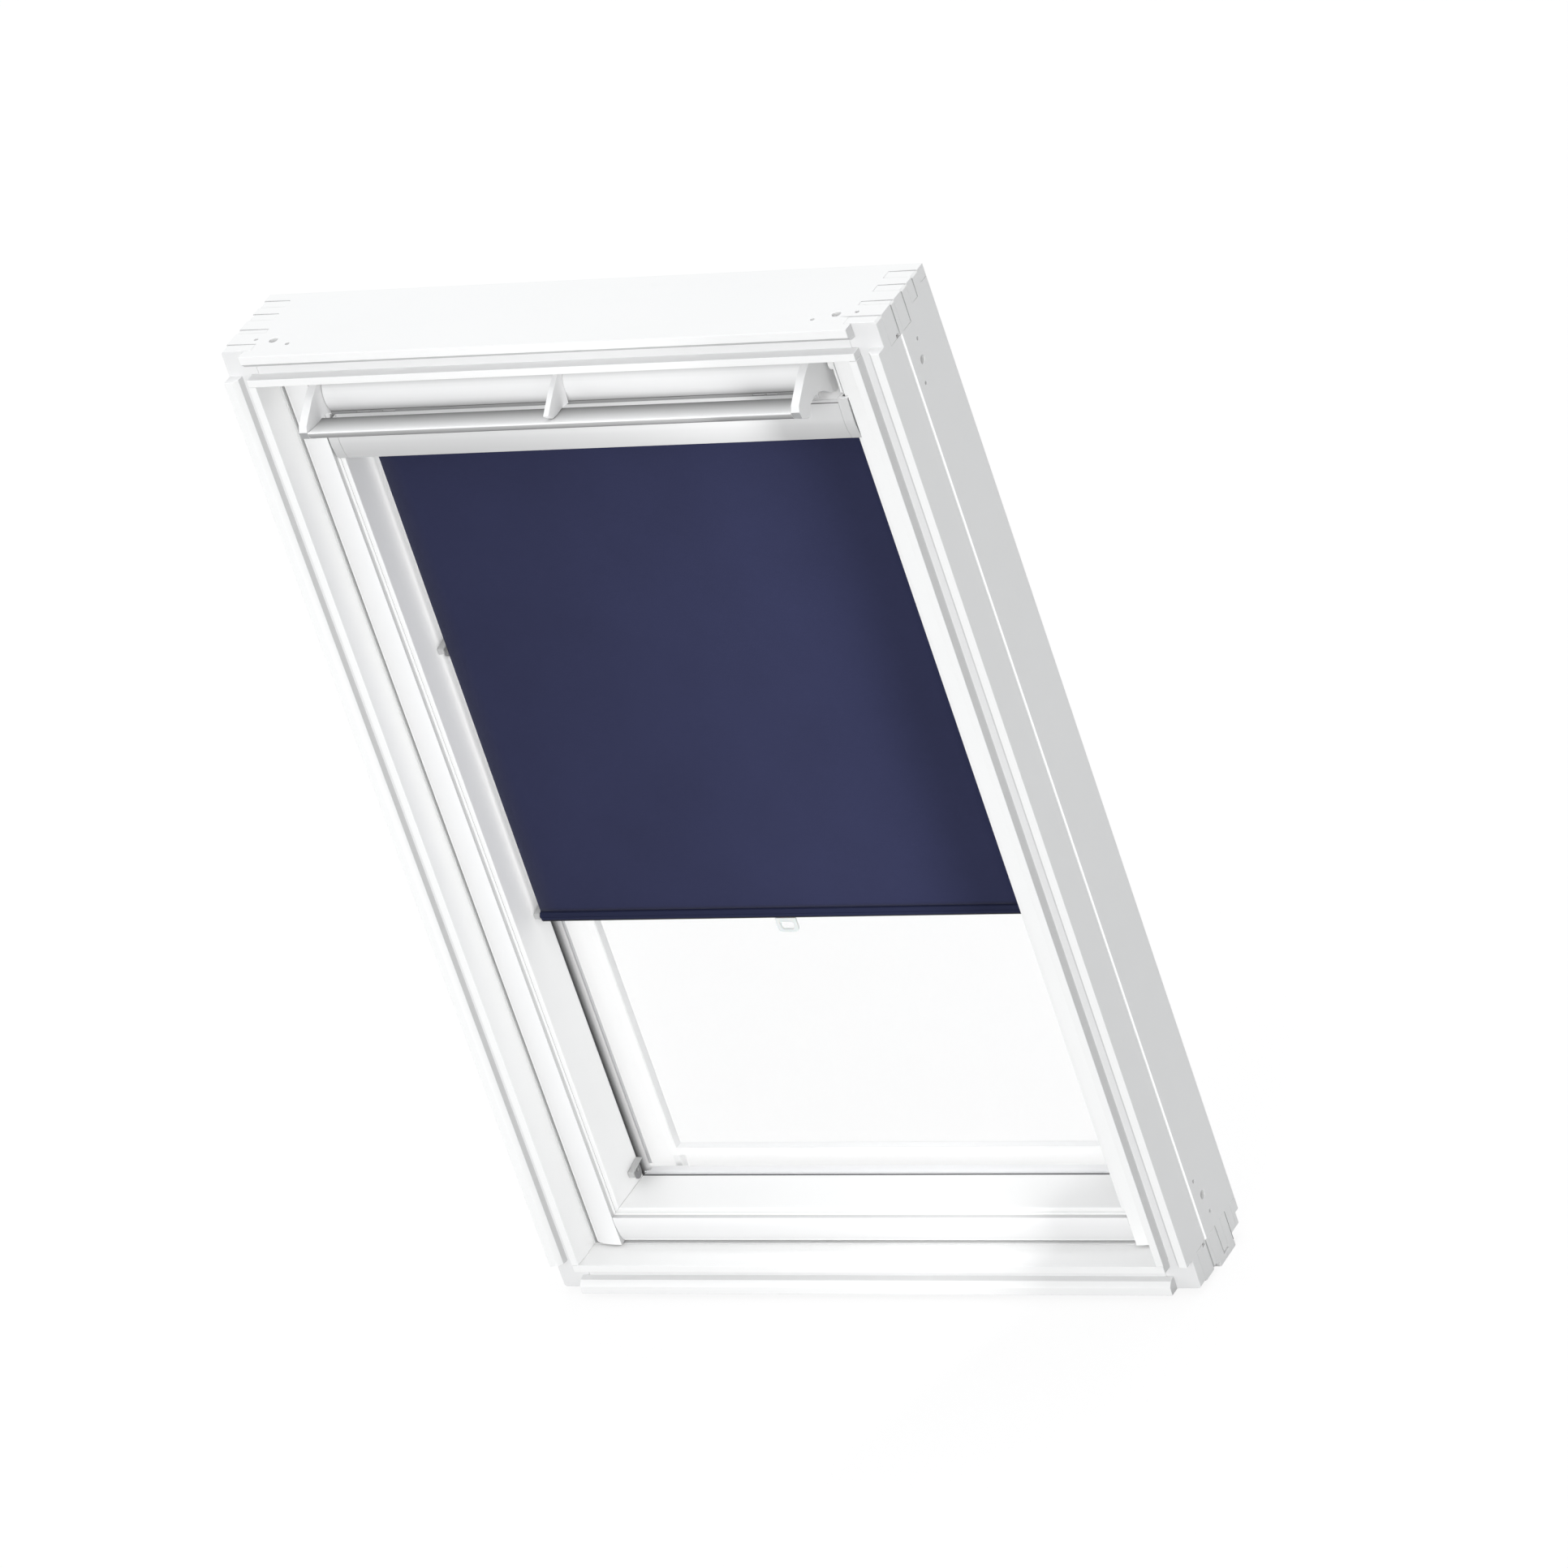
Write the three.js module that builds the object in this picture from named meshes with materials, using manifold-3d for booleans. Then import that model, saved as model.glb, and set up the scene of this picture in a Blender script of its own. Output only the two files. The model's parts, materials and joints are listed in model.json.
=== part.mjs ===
// Centre-pivot roof window, 780 x 1180 mm, with a ventilation flap and a spring roller blind.
// Millimetres. X runs left to right, Y from the room to the outside, Z from sill to head.
// Every outline below is drawn with the lower left corner of the frame's room face as its zero.
import * as THREE from 'three';
import { mergeVertices } from 'three/addons/utils/BufferGeometryUtils.js';
import Module from 'manifold-3d';

const wasm = await Module();
wasm.setup();

// Clearances
const fitGap = 0.3;
const overrun = 6;

// Frame
const frameWidth = 780;
const frameHeight = 1180;
const frameDepth = 127.6;
const frameThickness = 36.5;
const noseWidth = 9.3;
const noseBevelWidth = 5.3;
const noseFlareWidth = 1;
const grooveWidth = 12.4;
const grooveDepth = 13.2;
const lipWidth = 8.5;
const cornerWidth = 28.5;
const cornerTopHeight = 29.8;
const cornerBottomHeight = 35.2;
const footFrontInset = 65.6;
const footBackInset = 26.6;
const footHeight = 6.5;
const rebateHeight = 9;
const rebateStepHeight = 22;
const rebateStepDepth = 7.6;
const sideGrooveStart = 46.5;
const sideGrooveWidth = 5.5;
const sideGrooveDepth = 2;
const sideGrooveTop = 37.5;
const fixingDepth = 33;
const fixingInset = 54.5;
const fixingRadius = 5;
const fixingHoleDepth = 12;

// Weather seal
const sealSetback = 5.9;
const sealWidth = 7.2;
const sealSeatDepth = 4;
const sealProudHeight = 0.6;

// Sash
const sashSideGap = 2.5;
const sashEndGap = 2.9;
const sashFaceInset = 92.9;
const sashFaceWidth = 35.5;
const sashCrownWidth = 10.3;
const sashStepDepth = 5.8;
const sashGrooveWidth = 3.5;
const beadWidth = 4.65;
const beadGrooveWidth = 0.7;
const beadGrooveDepth = 0.9;
const beadRoundRadius = 1.6;
const beadRecessDepth = 0.6;
const paneInset = 24.6;
const paneCoverWidth = 12.15;
const paneThickness = 4;
const paneSpaceDepth = 16;
const paneTopInset = 111;
const spacerWidth = 12;
const spacerInset = 1;
const gasketWidth = 8;
const gasketHeight = 3.2;
const topRailInset = 35.6;
const topRailDrop = 82.6;

// Centre pivot
const pivotInset = 42.6;
const pivotRadius = 6;
const pivotPinLength = 13;
const pivotBush = 3;
const hingePlateWidth = 34;
const hingePlateHeight = 90;
const hingePlateThickness = 3;

// Outside covers
const coverSheet = 1.5;
const sashCoverWidth = 78;
const sashCoverHeight = 15.5;
const sashCoverInset = 6.5;
const frameCoverStart = 12;
const frameCoverWidth = 24;
const frameCoverHeight = 14;
const hoodHeight = 58;
const hoodInset = 14;
const hoodDepth = 19;

// Lock, striker and filter
const lockWidth = 80;
const lockDepth = 24;
const lockHeight = 28;
const boltWidth = 14;
const boltDepth = 8;
const strikerWidth = 60;
const strikerDepth = 20;
const strikerThickness = 2.5;
const ventHeight = 10;
const ventDrop = 60.6;
const lockSetback = 5;
const ventInset = 28;

// Barrel bolt
const barrelSetback = 12.2;
const barrelDrop = 9.6;
const barrelRadius = 3.2;
const barrelLength = 40;
const barrelGripWidth = 8;
const barrelGripHeight = 11;
const barrelTravel = 12;
const barrelClear = 0.5;
const bushWall = 1.6;
const bushClear = 2.2;

// Ventilation flap and control bar
const flapAxleSetback = 14.3;
const flapAxleDrop = 64;
const flapAxleRadius = 3;
const flapRadius = 33.5;
const flapWall = 2.5;
const flapTopAngle = 135;
const flapBottomAngle = 208;
const flapLip = 3.5;
const bracketWidth = 9.5;
const bracketInset = 9.4;
const bracketHub = 7;
const middleBracketWidth = 6;
const bearingWidth = 7;
const bearingRadius = 8;
const bearingPlate = 2.4;
const bearingFootDrop = 24;

// Blind head rail
const railTopDrop = 100;
const railFrontProud = 0.4;
const railDepth = 55.7;
const railDrop = 48;
const railWall = 1.8;
const railSlotHeight = 3.4;
const railSlotDepth = 1;
const railSlotDrop = 1;
const railLap = 6.25;
const capThickness = 3;
const capBracketThickness = 2;
const capBracketInset = 12;

// Roller and fabric
const rollerSetback = 37.5;
const rollerDrop = 25;
const tubeRadius = 10;
const tubeWall = 1;
const rollRadius = 12.2;
const shaftRadius = 2.5;
const shaftLength = 300;
const plugLength = 14;
const springWire = 1.2;
const springPitch = 9;
const springTurns = 24;
const fabricInset = 9.85;
const fabricThickness = 0.8;

// Bottom bar and pull tab
const bottomBarHeight = 12;
const bottomBarThickness = 5.4;
const bottomBarSetback = 5.7;
const bottomBarDrop = 8.9;
const barPinRadius = 2;
const barPinClear = 0.4;
const tabWidth = 25;
const tabHeight = 17.6;
const tabThickness = 2.6;
const tabWall = 3.2;
const tabPlate = 5;
const tabCorner = 4;

// Side hooks
const hookPitch = 334;
const hookLowest = 104.5;
const hookFrontLap = 0.5;
const hookDepth = 24.5;
const hookReach = 7.65;
const hookRise = 4;
const hookSheet = 1.8;
const hookLip = 6.8;
const hookDrop = 21;
const hookNose = 9;
const screwRadius = 1.7;
const screwLength = 12;

// Counts and shares
const hookRows = 3;
const roundSteps = 20;
const shellSteps = 80;
const faceCorners = 3;
const curveSteps = 6;
const springSides = 5;
const springStepsPerTurn = 8;
const screwSides = 10;
const jambFingerShares = [[0, 0.206], [0.384, 0.439], [0.588, 0.682], [0.7915, 0.889]];
const jambReachShares = [1, 1, 0.885, 0.885];
const headReachShares = [1, 1, 0.63, 0.4];
const boltReachShare = 0.8;
const coverBottomShare = 0.78;
const coverRoundShare = 0.25;
// Belly of the head rail's front: walls drawn back, then share of the rail's height.
const railBellyShares = [[0, 0.4], [0, 0.6], [1, 0.84], [2.6, 1]];
// Outline of an end bracket seen from the side, from the axle, in shares of the flap radius.
const bracketTopShares = [[-0.716, 0.716], [-1.1, 0.597], [-1.582, 0.343], [-2.104, -0.015], [-2.293, -0.149]];
const bracketTipShares = [[-2.388, -0.328], [-2.337, -0.564], [-2.024, -0.758], [-1.869, -0.749]];
const bracketHeelShares = [[-1.663, -0.478], [-1.373, -0.415], [-1.054, -0.433], [-0.794, -0.531]];
const bracketBackShares = [[-0.361, -0.857], [-0.137, -0.955], [0.027, -0.955], [0.09, -0.752]];
// Section of the control bar, from the axle, in shares of the flap radius.
const barSectionShares = [
  [-2.388, -0.328], [-2.357, -0.52], [-2.254, -0.612], [-1.84, -0.49], [-1.433, -0.37], [-1.8, -0.395], [-2.1, -0.36],
];

// Derived places
const sashOuter = frameThickness + sashSideGap;
const sashEnd = frameThickness + sashEndGap;
const shoulder = sashOuter + sashFaceWidth;
const reveal = shoulder + sashGrooveWidth + beadWidth;
const endShoulder = sashEnd + sashFaceWidth;
const endReveal = endShoulder + sashGrooveWidth + beadWidth;
const sashBackDepth = frameDepth - fitGap;
const footFrontDepth = frameDepth - footFrontInset;
const footBackDepth = frameDepth - footBackInset;
const paneFront = frameDepth - paneInset;
const topRailFront = frameDepth - topRailInset;
const pivotDepth = frameDepth - pivotInset;
const sashFaceDepth = frameDepth - sashFaceInset;
const stepDepth = sashFaceDepth + sashStepDepth;
const sealStart = sashFaceDepth + sealSetback;
const barrelDepth = sealStart + sealWidth + barrelSetback;
const flapAxleDepth = sashFaceDepth + flapAxleSetback;
const railFront = sashFaceDepth - railFrontProud;
const railBackDepth = railFront + railDepth;
const rollerDepth = railFront + rollerSetback;
const bottomBarDepth = rollerDepth + bottomBarSetback;
const hookFront = bottomBarDepth - hookFrontLap;
const hookBack = hookFront + hookDepth;
const sashTop = frameHeight - sashEnd;
const paneSide = reveal - paneCoverWidth;
const paneBottom = endReveal - paneCoverWidth;
const paneTop = frameHeight - paneTopInset;
const outerPaneFront = paneFront + paneThickness + paneSpaceDepth;
const paneBack = outerPaneFront + paneThickness;
const rebateFront = paneFront - fitGap;
const headUnderside = frameHeight - frameThickness;
const centre = frameWidth / 2;
const fabricSide = reveal + fabricInset;
const pinSide = reveal + fitGap + hookReach + barPinClear;
const pivotHeight = frameHeight / 2;
const topRailBottom = sashTop - topRailDrop;
const ventSlotHeight = sashTop - ventDrop;
const flapAxleHeight = frameHeight - flapAxleDrop;
const railTop = frameHeight - railTopDrop;
const rollerHeight = railTop - rollerDrop;
const bottomBarBase = hookLowest + hookPitch - bottomBarDrop;
const springRadius = shaftRadius + springWire + fitGap;

// Materials
const whiteWood = { color: 0xf2f2f0, roughness: 0.45, metalness: 0 };
const whitePlastic = { color: 0xe9e9e7, roughness: 0.4, metalness: 0 };
const aluminium = { color: 0xd6d8d9, roughness: 0.35, metalness: 0.8 };
const greyMetal = { color: 0x77797c, roughness: 0.5, metalness: 0.6 };
const steel = { color: 0xa9abad, roughness: 0.35, metalness: 0.9 };
const rubber = { color: 0x3f4143, roughness: 0.8, metalness: 0 };
const glass = { color: 0xeaf2f4, roughness: 0.05, metalness: 0, transparent: true, opacity: 0.35 };
const navyFabric = { color: 0x353856, roughness: 0.9, metalness: 0 };
const navyMetal = { color: 0x26283f, roughness: 0.5, metalness: 0.2 };
const palePlastic = { color: 0xdfe5e2, roughness: 0.3, metalness: 0 };
const foam = { color: 0x55585b, roughness: 1, metalness: 0 };

// Solids and cuts
function manifoldOf(geometry) {
  const bare = geometry.clone();
  bare.deleteAttribute('normal');
  bare.deleteAttribute('uv');
  const merged = mergeVertices(bare, 1e-4);
  const vertProperties = new Float32Array(merged.attributes.position.array);
  const triVerts = new Uint32Array(merged.index.array);
  return new wasm.Manifold(new wasm.Mesh({ numProp: 3, vertProperties, triVerts }));
}

function geometryOf(manifold) {
  const mesh = manifold.getMesh();
  const geometry = new THREE.BufferGeometry();
  geometry.setAttribute('position', new THREE.BufferAttribute(new Float32Array(mesh.vertProperties), 3));
  geometry.setIndex(new THREE.BufferAttribute(new Uint32Array(mesh.triVerts), 1));
  return geometry;
}

function join(first, ...others) {
  let result = manifoldOf(first);
  for (const other of others) {
    result = result.add(manifoldOf(other));
  }
  return geometryOf(result);
}

function cut(first, ...others) {
  let result = manifoldOf(first);
  for (const other of others) {
    result = result.subtract(manifoldOf(other));
  }
  return geometryOf(result);
}

// A prism along one axis. Its outline is given as [y, z] along X, [x, z] along Y and [x, y] along Z.
const unitX = new THREE.Vector3(1, 0, 0);
const unitY = new THREE.Vector3(0, 1, 0);
const unitZ = new THREE.Vector3(0, 0, 1);
const prismFrames = {
  x: new THREE.Matrix4().makeBasis(unitY, unitZ, unitX),
  y: new THREE.Matrix4().makeBasis(unitZ, unitX, unitY),
  z: new THREE.Matrix4(),
};

function prism(axis, outline, start, end) {
  const points = outline.map(([first, second]) => {
    return axis === 'y' ? new THREE.Vector2(second, first) : new THREE.Vector2(first, second);
  });
  const shape = new THREE.Shape(points);
  const geometry = new THREE.ExtrudeGeometry(shape, { depth: end - start, bevelEnabled: false, steps: 1 });
  geometry.translate(0, 0, start);
  return geometry.applyMatrix4(prismFrames[axis]);
}

function block(x0, x1, y0, y1, z0, z1) {
  const geometry = new THREE.BoxGeometry(x1 - x0, y1 - y0, z1 - z0);
  return geometry.translate((x0 + x1) / 2, (y0 + y1) / 2, (z0 + z1) / 2);
}

function arc(centreFirst, centreSecond, radius, startAngle, endAngle, steps = curveSteps) {
  const points = [];
  for (let step = 0; step <= steps; step += 1) {
    const angle = THREE.MathUtils.degToRad(startAngle + ((endAngle - startAngle) * step) / steps);
    points.push([centreFirst + radius * Math.cos(angle), centreSecond + radius * Math.sin(angle)]);
  }
  return points;
}

function disc(centreFirst, centreSecond, radius, steps = roundSteps) {
  return arc(centreFirst, centreSecond, radius, 0, 360, steps).slice(0, steps);
}

function rod(axis, centreFirst, centreSecond, radius, start, end, steps = roundSteps) {
  return prism(axis, disc(centreFirst, centreSecond, radius, steps), start, end);
}

function pipe(axis, centreFirst, centreSecond, radius, wall, start, end, steps = roundSteps) {
  const bore = rod(axis, centreFirst, centreSecond, radius - wall, start - overrun, end + overrun, steps);
  return cut(rod(axis, centreFirst, centreSecond, radius, start, end, steps), bore);
}

// The same piece on the other side of the window's middle plane.
function mirrored(geometry) {
  const copy = geometry.clone();
  copy.applyMatrix4(new THREE.Matrix4().makeScale(-1, 1, 1));
  copy.translate(frameWidth, 0, 0);
  if (!copy.index) {
    return geometryOf(manifoldOf(flipped(mergeVertices(bareOf(copy)))));
  }
  return flipped(copy);
}

function bareOf(geometry) {
  const bare = geometry.clone();
  bare.deleteAttribute('normal');
  bare.deleteAttribute('uv');
  return bare;
}

function flipped(geometry) {
  const index = geometry.index.array;
  for (let corner = 0; corner < index.length; corner += faceCorners) {
    const second = index[corner + 1];
    index[corner + 1] = index[corner + 2];
    index[corner + 2] = second;
  }
  return geometry;
}

const windowGroup = new THREE.Group();

function addPiece(name, geometry, look) {
  const bare = bareOf(geometry);
  const mesh = new THREE.Mesh(bare, new THREE.MeshStandardMaterial(look));
  mesh.name = name;
  windowGroup.add(mesh);
}

function addPair(name, leftGeometry, look) {
  addPiece(`${name}_left`, leftGeometry, look);
  addPiece(`${name}_right`, mirrored(leftGeometry), look);
}

// Frame members: section measured inwards from the outer face, then from the room to the outside
const grooveStart = frameThickness - lipWidth - grooveWidth;

function frameSection() {
  const sealFloor = frameThickness - sealSeatDepth;
  return [
    [0, 0],
    [noseWidth, 0],
    [noseWidth + noseBevelWidth, noseBevelWidth],
    [grooveStart, grooveDepth - noseFlareWidth],
    [grooveStart, grooveDepth],
    [frameThickness - lipWidth, grooveDepth],
    [frameThickness - lipWidth, 0],
    [frameThickness, 0],
    [frameThickness, sealStart],
    [sealFloor, sealStart],
    [sealFloor, sealStart + sealWidth],
    [frameThickness, sealStart + sealWidth],
    [frameThickness, frameDepth],
    [0, frameDepth],
  ];
}

const fingerDepths = jambFingerShares.map(([start, end]) => [start * frameDepth, end * frameDepth]);

// The frame's back edge at the bottom is rebated to sit on the roof's flashing.
function sillRebate() {
  const outside = frameDepth + overrun;
  const outline = [
    [footBackDepth, -overrun - footHeight],
    [footBackDepth, rebateHeight],
    [frameDepth - rebateStepDepth, rebateHeight],
    [frameDepth - rebateStepDepth, rebateStepHeight],
    [outside, rebateStepHeight],
    [outside, -overrun - footHeight],
  ];
  return prism('x', outline, -overrun, frameWidth + overrun);
}

function jamb() {
  const body = prism('z', frameSection(), 0, frameHeight);
  const inner = frameThickness + overrun;
  const lipStart = frameThickness - lipWidth;
  const topCorner = prism('y', [
    [-overrun, frameHeight - cornerTopHeight],
    [lipStart, frameHeight - cornerTopHeight],
    [lipStart, headUnderside - fitGap],
    [inner, headUnderside - fitGap],
    [inner, frameHeight + overrun],
    [-overrun, frameHeight + overrun],
  ], -overrun, grooveDepth);
  const bottomCorner = prism('y', [
    [-overrun, cornerBottomHeight],
    [lipStart, cornerBottomHeight],
    [lipStart, frameThickness + fitGap],
    [inner, frameThickness + fitGap],
    [inner, -overrun],
    [-overrun, -overrun],
  ], -overrun, grooveDepth);
  const tools = [topCorner, bottomCorner, sillRebate()];
  fingerDepths.forEach(([start, end], slot) => {
    const next = slot + 1 < fingerDepths.length ? fingerDepths[slot + 1][0] : frameDepth + overrun;
    const headFinger = frameHeight - frameThickness * headReachShares[slot] - fitGap;
    const jambFinger = frameThickness * jambReachShares[slot];
    tools.push(block(-overrun, inner, end, next, headFinger, frameHeight + overrun));
    tools.push(block(-overrun, inner, end, next, -overrun, frameThickness + fitGap));
    tools.push(block(jambFinger, inner, start, end, headUnderside - fitGap, frameHeight + overrun));
    tools.push(block(jambFinger, inner, start, end, -overrun, frameThickness + fitGap));
  });
  tools.push(block(-overrun, inner, footFrontDepth - fitGap, footBackDepth, -overrun, fitGap));
  const grooveEnd = sideGrooveStart + sideGrooveWidth;
  const grooveTop = frameHeight - sideGrooveTop;
  tools.push(block(-overrun, sideGrooveDepth, sideGrooveStart, grooveEnd, frameThickness, grooveTop));
  tools.push(hingeRecess(frameThickness, -1));
  return cut(body, ...tools);
}

// Ends of the head and the sill, cut to take the jambs' fingers.
function endCuts(low, high) {
  const tools = [block(-overrun, cornerWidth, -overrun, grooveDepth, low, high)];
  fingerDepths.forEach(([start, end], slot) => {
    const from = start > 0 ? start - fitGap : grooveDepth - fitGap;
    const jambFinger = frameThickness * jambReachShares[slot];
    tools.push(block(-overrun, jambFinger + fitGap, from, end + fitGap, low, high));
  });
  return [...tools, ...tools.map(mirrored)];
}

function headMember() {
  const outline = frameSection().map(([inset, depth]) => [depth, frameHeight - inset]);
  const body = prism('x', outline, 0, frameWidth);
  const low = headUnderside - overrun;
  const high = frameHeight + overrun;
  const hole = rod('z', fixingInset, fixingDepth, fixingRadius, frameHeight - fixingHoleDepth, high);
  const striker = block(
    centre - strikerWidth / 2 - fitGap,
    centre + strikerWidth / 2 + fitGap,
    lockDepthStart - fitGap,
    lockDepthStart + strikerDepth + fitGap,
    low,
    headUnderside + strikerThickness + fitGap,
  );
  const fingers = fingerDepths.map(([, end], slot) => {
    const next = slot + 1 < fingerDepths.length ? fingerDepths[slot + 1][0] : frameDepth + overrun;
    const fingerBase = frameHeight - frameThickness * headReachShares[slot];
    return block(-overrun, frameThickness + fitGap, end, next, low, Math.max(fingerBase, low + fitGap));
  });
  const drops = [...fingers, ...fingers.map(mirrored)];
  return cut(body, ...endCuts(low, high), ...drops, hole, mirrored(hole), striker);
}

function sillMember() {
  const outline = frameSection().map(([inset, depth]) => [depth, inset]);
  const body = prism('x', outline, 0, frameWidth);
  const low = -overrun;
  const foot = block(0, frameWidth, footFrontDepth, footBackDepth, -footHeight, 0);
  const cutBody = cut(body, ...endCuts(low, frameThickness + overrun), sillRebate());
  return join(cutBody, foot);
}

// Centre pivot: a pinned plate on each jamb and a bushed plate in each stile
function hingeOutline(margin) {
  const radius = hingePlateWidth / 2 + margin;
  const reach = (hingePlateHeight - hingePlateWidth) / 2;
  return [
    ...arc(pivotDepth, pivotHeight + reach, radius, 0, 180),
    ...arc(pivotDepth, pivotHeight - reach, radius, 180, 360),
  ];
}

function hingeRecess(face, side) {
  const depth = hingePlateThickness + fitGap;
  const start = side < 0 ? face - depth : face - overrun;
  const end = side < 0 ? face + overrun : face + depth;
  return prism('x', hingeOutline(fitGap), start, end);
}

function frameHinge() {
  const face = frameThickness - fitGap;
  const plate = prism('x', hingeOutline(0), face - hingePlateThickness + fitGap, face);
  const pin = rod('x', pivotDepth, pivotHeight, pivotRadius, face - fitGap, face + pivotPinLength);
  return join(plate, pin);
}

function sashHinge() {
  const face = sashOuter + fitGap;
  const plate = prism('x', hingeOutline(0), face, face + hingePlateThickness - fitGap);
  const bushEnd = frameThickness + pivotPinLength + fitGap;
  const bush = rod('x', pivotDepth, pivotHeight, pivotRadius + pivotBush, face, bushEnd);
  const bore = rod('x', pivotDepth, pivotHeight, pivotRadius + fitGap, -overrun, frameWidth);
  return cut(join(plate, bush), bore);
}

// Weather seal pressed into the frame's reveal
function sealRing() {
  const outer = frameThickness - sealSeatDepth + fitGap;
  const inner = frameThickness + sealProudHeight;
  const front = sealStart + fitGap;
  const back = sealStart + sealWidth - fitGap;
  const body = block(outer, frameWidth - outer, front, back, outer, frameHeight - outer);
  const hole = block(inner, frameWidth - inner, 0, frameDepth, inner, frameHeight - inner);
  return cut(body, hole);
}

// Sash members: section measured inwards from the frame's outer face
function sashSection(outer) {
  const step = outer + sashFaceWidth;
  const bead = step + sashGrooveWidth;
  const inside = bead + beadWidth;
  const crown = [];
  for (let index = 0; index <= curveSteps; index += 1) {
    const angle = (Math.PI / 2) * (index / curveSteps);
    const inset = step - sashFaceWidth * Math.cos(angle);
    crown.push([inset, sashFaceDepth + sashCrownWidth * (1 - Math.sin(angle))]);
  }
  const beadFront = stepDepth + beadRecessDepth;
  return [
    ...crown,
    [step, stepDepth],
    [bead - beadGrooveWidth, stepDepth],
    [bead - beadGrooveWidth / 2, stepDepth + beadGrooveDepth],
    [bead, beadFront],
    [inside - beadRoundRadius, beadFront],
    ...arc(inside - beadRoundRadius, beadFront + beadRoundRadius, beadRoundRadius, -60, 0, 2),
    [inside, sashBackDepth],
    [outer, sashBackDepth],
  ];
}

function glazingRebate() {
  return block(
    paneSide - fitGap,
    frameWidth - paneSide + fitGap,
    rebateFront,
    frameDepth + overrun,
    paneBottom - fitGap,
    frameHeight,
  );
}

// The bottom rail butts between the stiles, and the two beads meet in a mitre.
const mitreRise = sashGrooveWidth + beadWidth + overrun;

function railSeat() {
  return prism('y', [
    [shoulder, -overrun],
    [shoulder, endShoulder],
    [shoulder + mitreRise, endShoulder + mitreRise],
    [shoulder + mitreRise, -overrun],
  ], -overrun, frameDepth + overrun);
}

function railMitre() {
  const start = shoulder + fitGap;
  return prism('y', [
    [start - overrun, endShoulder - overrun],
    [start + mitreRise, endShoulder + mitreRise],
    [start - overrun, endShoulder + mitreRise],
  ], -overrun, frameDepth + overrun);
}

function stile() {
  const body = prism('z', sashSection(sashOuter), sashEnd, sashTop);
  const pinEnd = frameThickness + pivotPinLength + 2 * fitGap;
  const bushHole = rod('x', pivotDepth, pivotHeight, pivotRadius + pivotBush + fitGap, 0, pinEnd);
  const tools = [railSeat(), glazingRebate(), hingeRecess(sashOuter, 1), bushHole];
  for (let row = 0; row < hookRows; row += 1) {
    tools.push(screwHole(row));
  }
  return cut(body, ...tools);
}

function bottomRail() {
  const outline = sashSection(sashEnd).map(([inset, depth]) => [depth, inset]);
  const start = shoulder + fitGap;
  const body = prism('x', outline, start, frameWidth - start);
  return cut(body, railMitre(), mirrored(railMitre()), glazingRebate());
}

const lockDepthStart = topRailFront + lockSetback;

function topRail() {
  const front = block(
    reveal + fitGap,
    frameWidth - reveal - fitGap,
    topRailFront,
    rebateFront,
    topRailBottom,
    sashTop,
  );
  const back = block(
    paneSide + fitGap,
    frameWidth - paneSide - fitGap,
    rebateFront + fitGap,
    sashBackDepth,
    paneTop + fitGap,
    sashTop,
  );
  const web = block(
    reveal + fitGap,
    frameWidth - reveal - fitGap,
    topRailFront,
    sashBackDepth,
    paneTop + fitGap,
    sashTop,
  );
  const ventStart = reveal + ventInset;
  const vent = block(
    ventStart,
    frameWidth - ventStart,
    0,
    frameDepth + overrun,
    ventSlotHeight,
    ventSlotHeight + ventHeight,
  );
  const lockPocket = block(
    centre - lockWidth / 2 - fitGap,
    centre + lockWidth / 2 + fitGap,
    lockDepthStart - fitGap,
    lockDepthStart + lockDepth + fitGap,
    sashTop - lockHeight - fitGap,
    sashTop + overrun,
  );
  return cut(join(front, web, back), vent, lockPocket);
}

function ventFilter() {
  const start = reveal + ventInset + fitGap;
  return block(
    start,
    frameWidth - start,
    topRailFront + fitGap,
    sashBackDepth - fitGap,
    ventSlotHeight + fitGap,
    ventSlotHeight + ventHeight - fitGap,
  );
}

// Lock case in the top rail, its bolt drawn in, and the striker in the frame's head
function lockCase() {
  const top = sashTop - fitGap;
  const body = block(
    centre - lockWidth / 2,
    centre + lockWidth / 2,
    lockDepthStart,
    lockDepthStart + lockDepth,
    sashTop - lockHeight,
    top,
  );
  const slotStart = lockDepthStart + (lockDepth - boltDepth) / 2 - fitGap;
  const slot = block(
    centre - boltWidth / 2 - fitGap,
    centre + boltWidth / 2 + fitGap,
    slotStart,
    slotStart + boltDepth + 2 * fitGap,
    sashTop - lockHeight * boltReachShare,
    sashTop + overrun,
  );
  return cut(body, slot);
}

function latchBolt() {
  const start = lockDepthStart + (lockDepth - boltDepth) / 2;
  return block(
    centre - boltWidth / 2,
    centre + boltWidth / 2,
    start,
    start + boltDepth,
    sashTop - lockHeight * boltReachShare + fitGap,
    sashTop - fitGap,
  );
}

function strikerPlate() {
  const plate = block(
    centre - strikerWidth / 2,
    centre + strikerWidth / 2,
    lockDepthStart,
    lockDepthStart + strikerDepth,
    headUnderside + fitGap,
    headUnderside + strikerThickness,
  );
  const slotStart = lockDepthStart + (lockDepth - boltDepth) / 2 - 2 * fitGap;
  const slot = block(
    centre - boltWidth / 2 - 2 * fitGap,
    centre + boltWidth / 2 + 2 * fitGap,
    slotStart,
    slotStart + boltDepth + 2 * fitGap,
    headUnderside - overrun,
    headUnderside + strikerThickness + overrun,
  );
  return cut(plate, slot);
}

// Barrel bolt that holds the turned sash for cleaning
const barrelHeight = sashTop - barrelDrop;
const barrelTip = frameWidth - sashOuter - fitGap;
const barrelGripStart = barrelTip - barrelLength;

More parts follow.
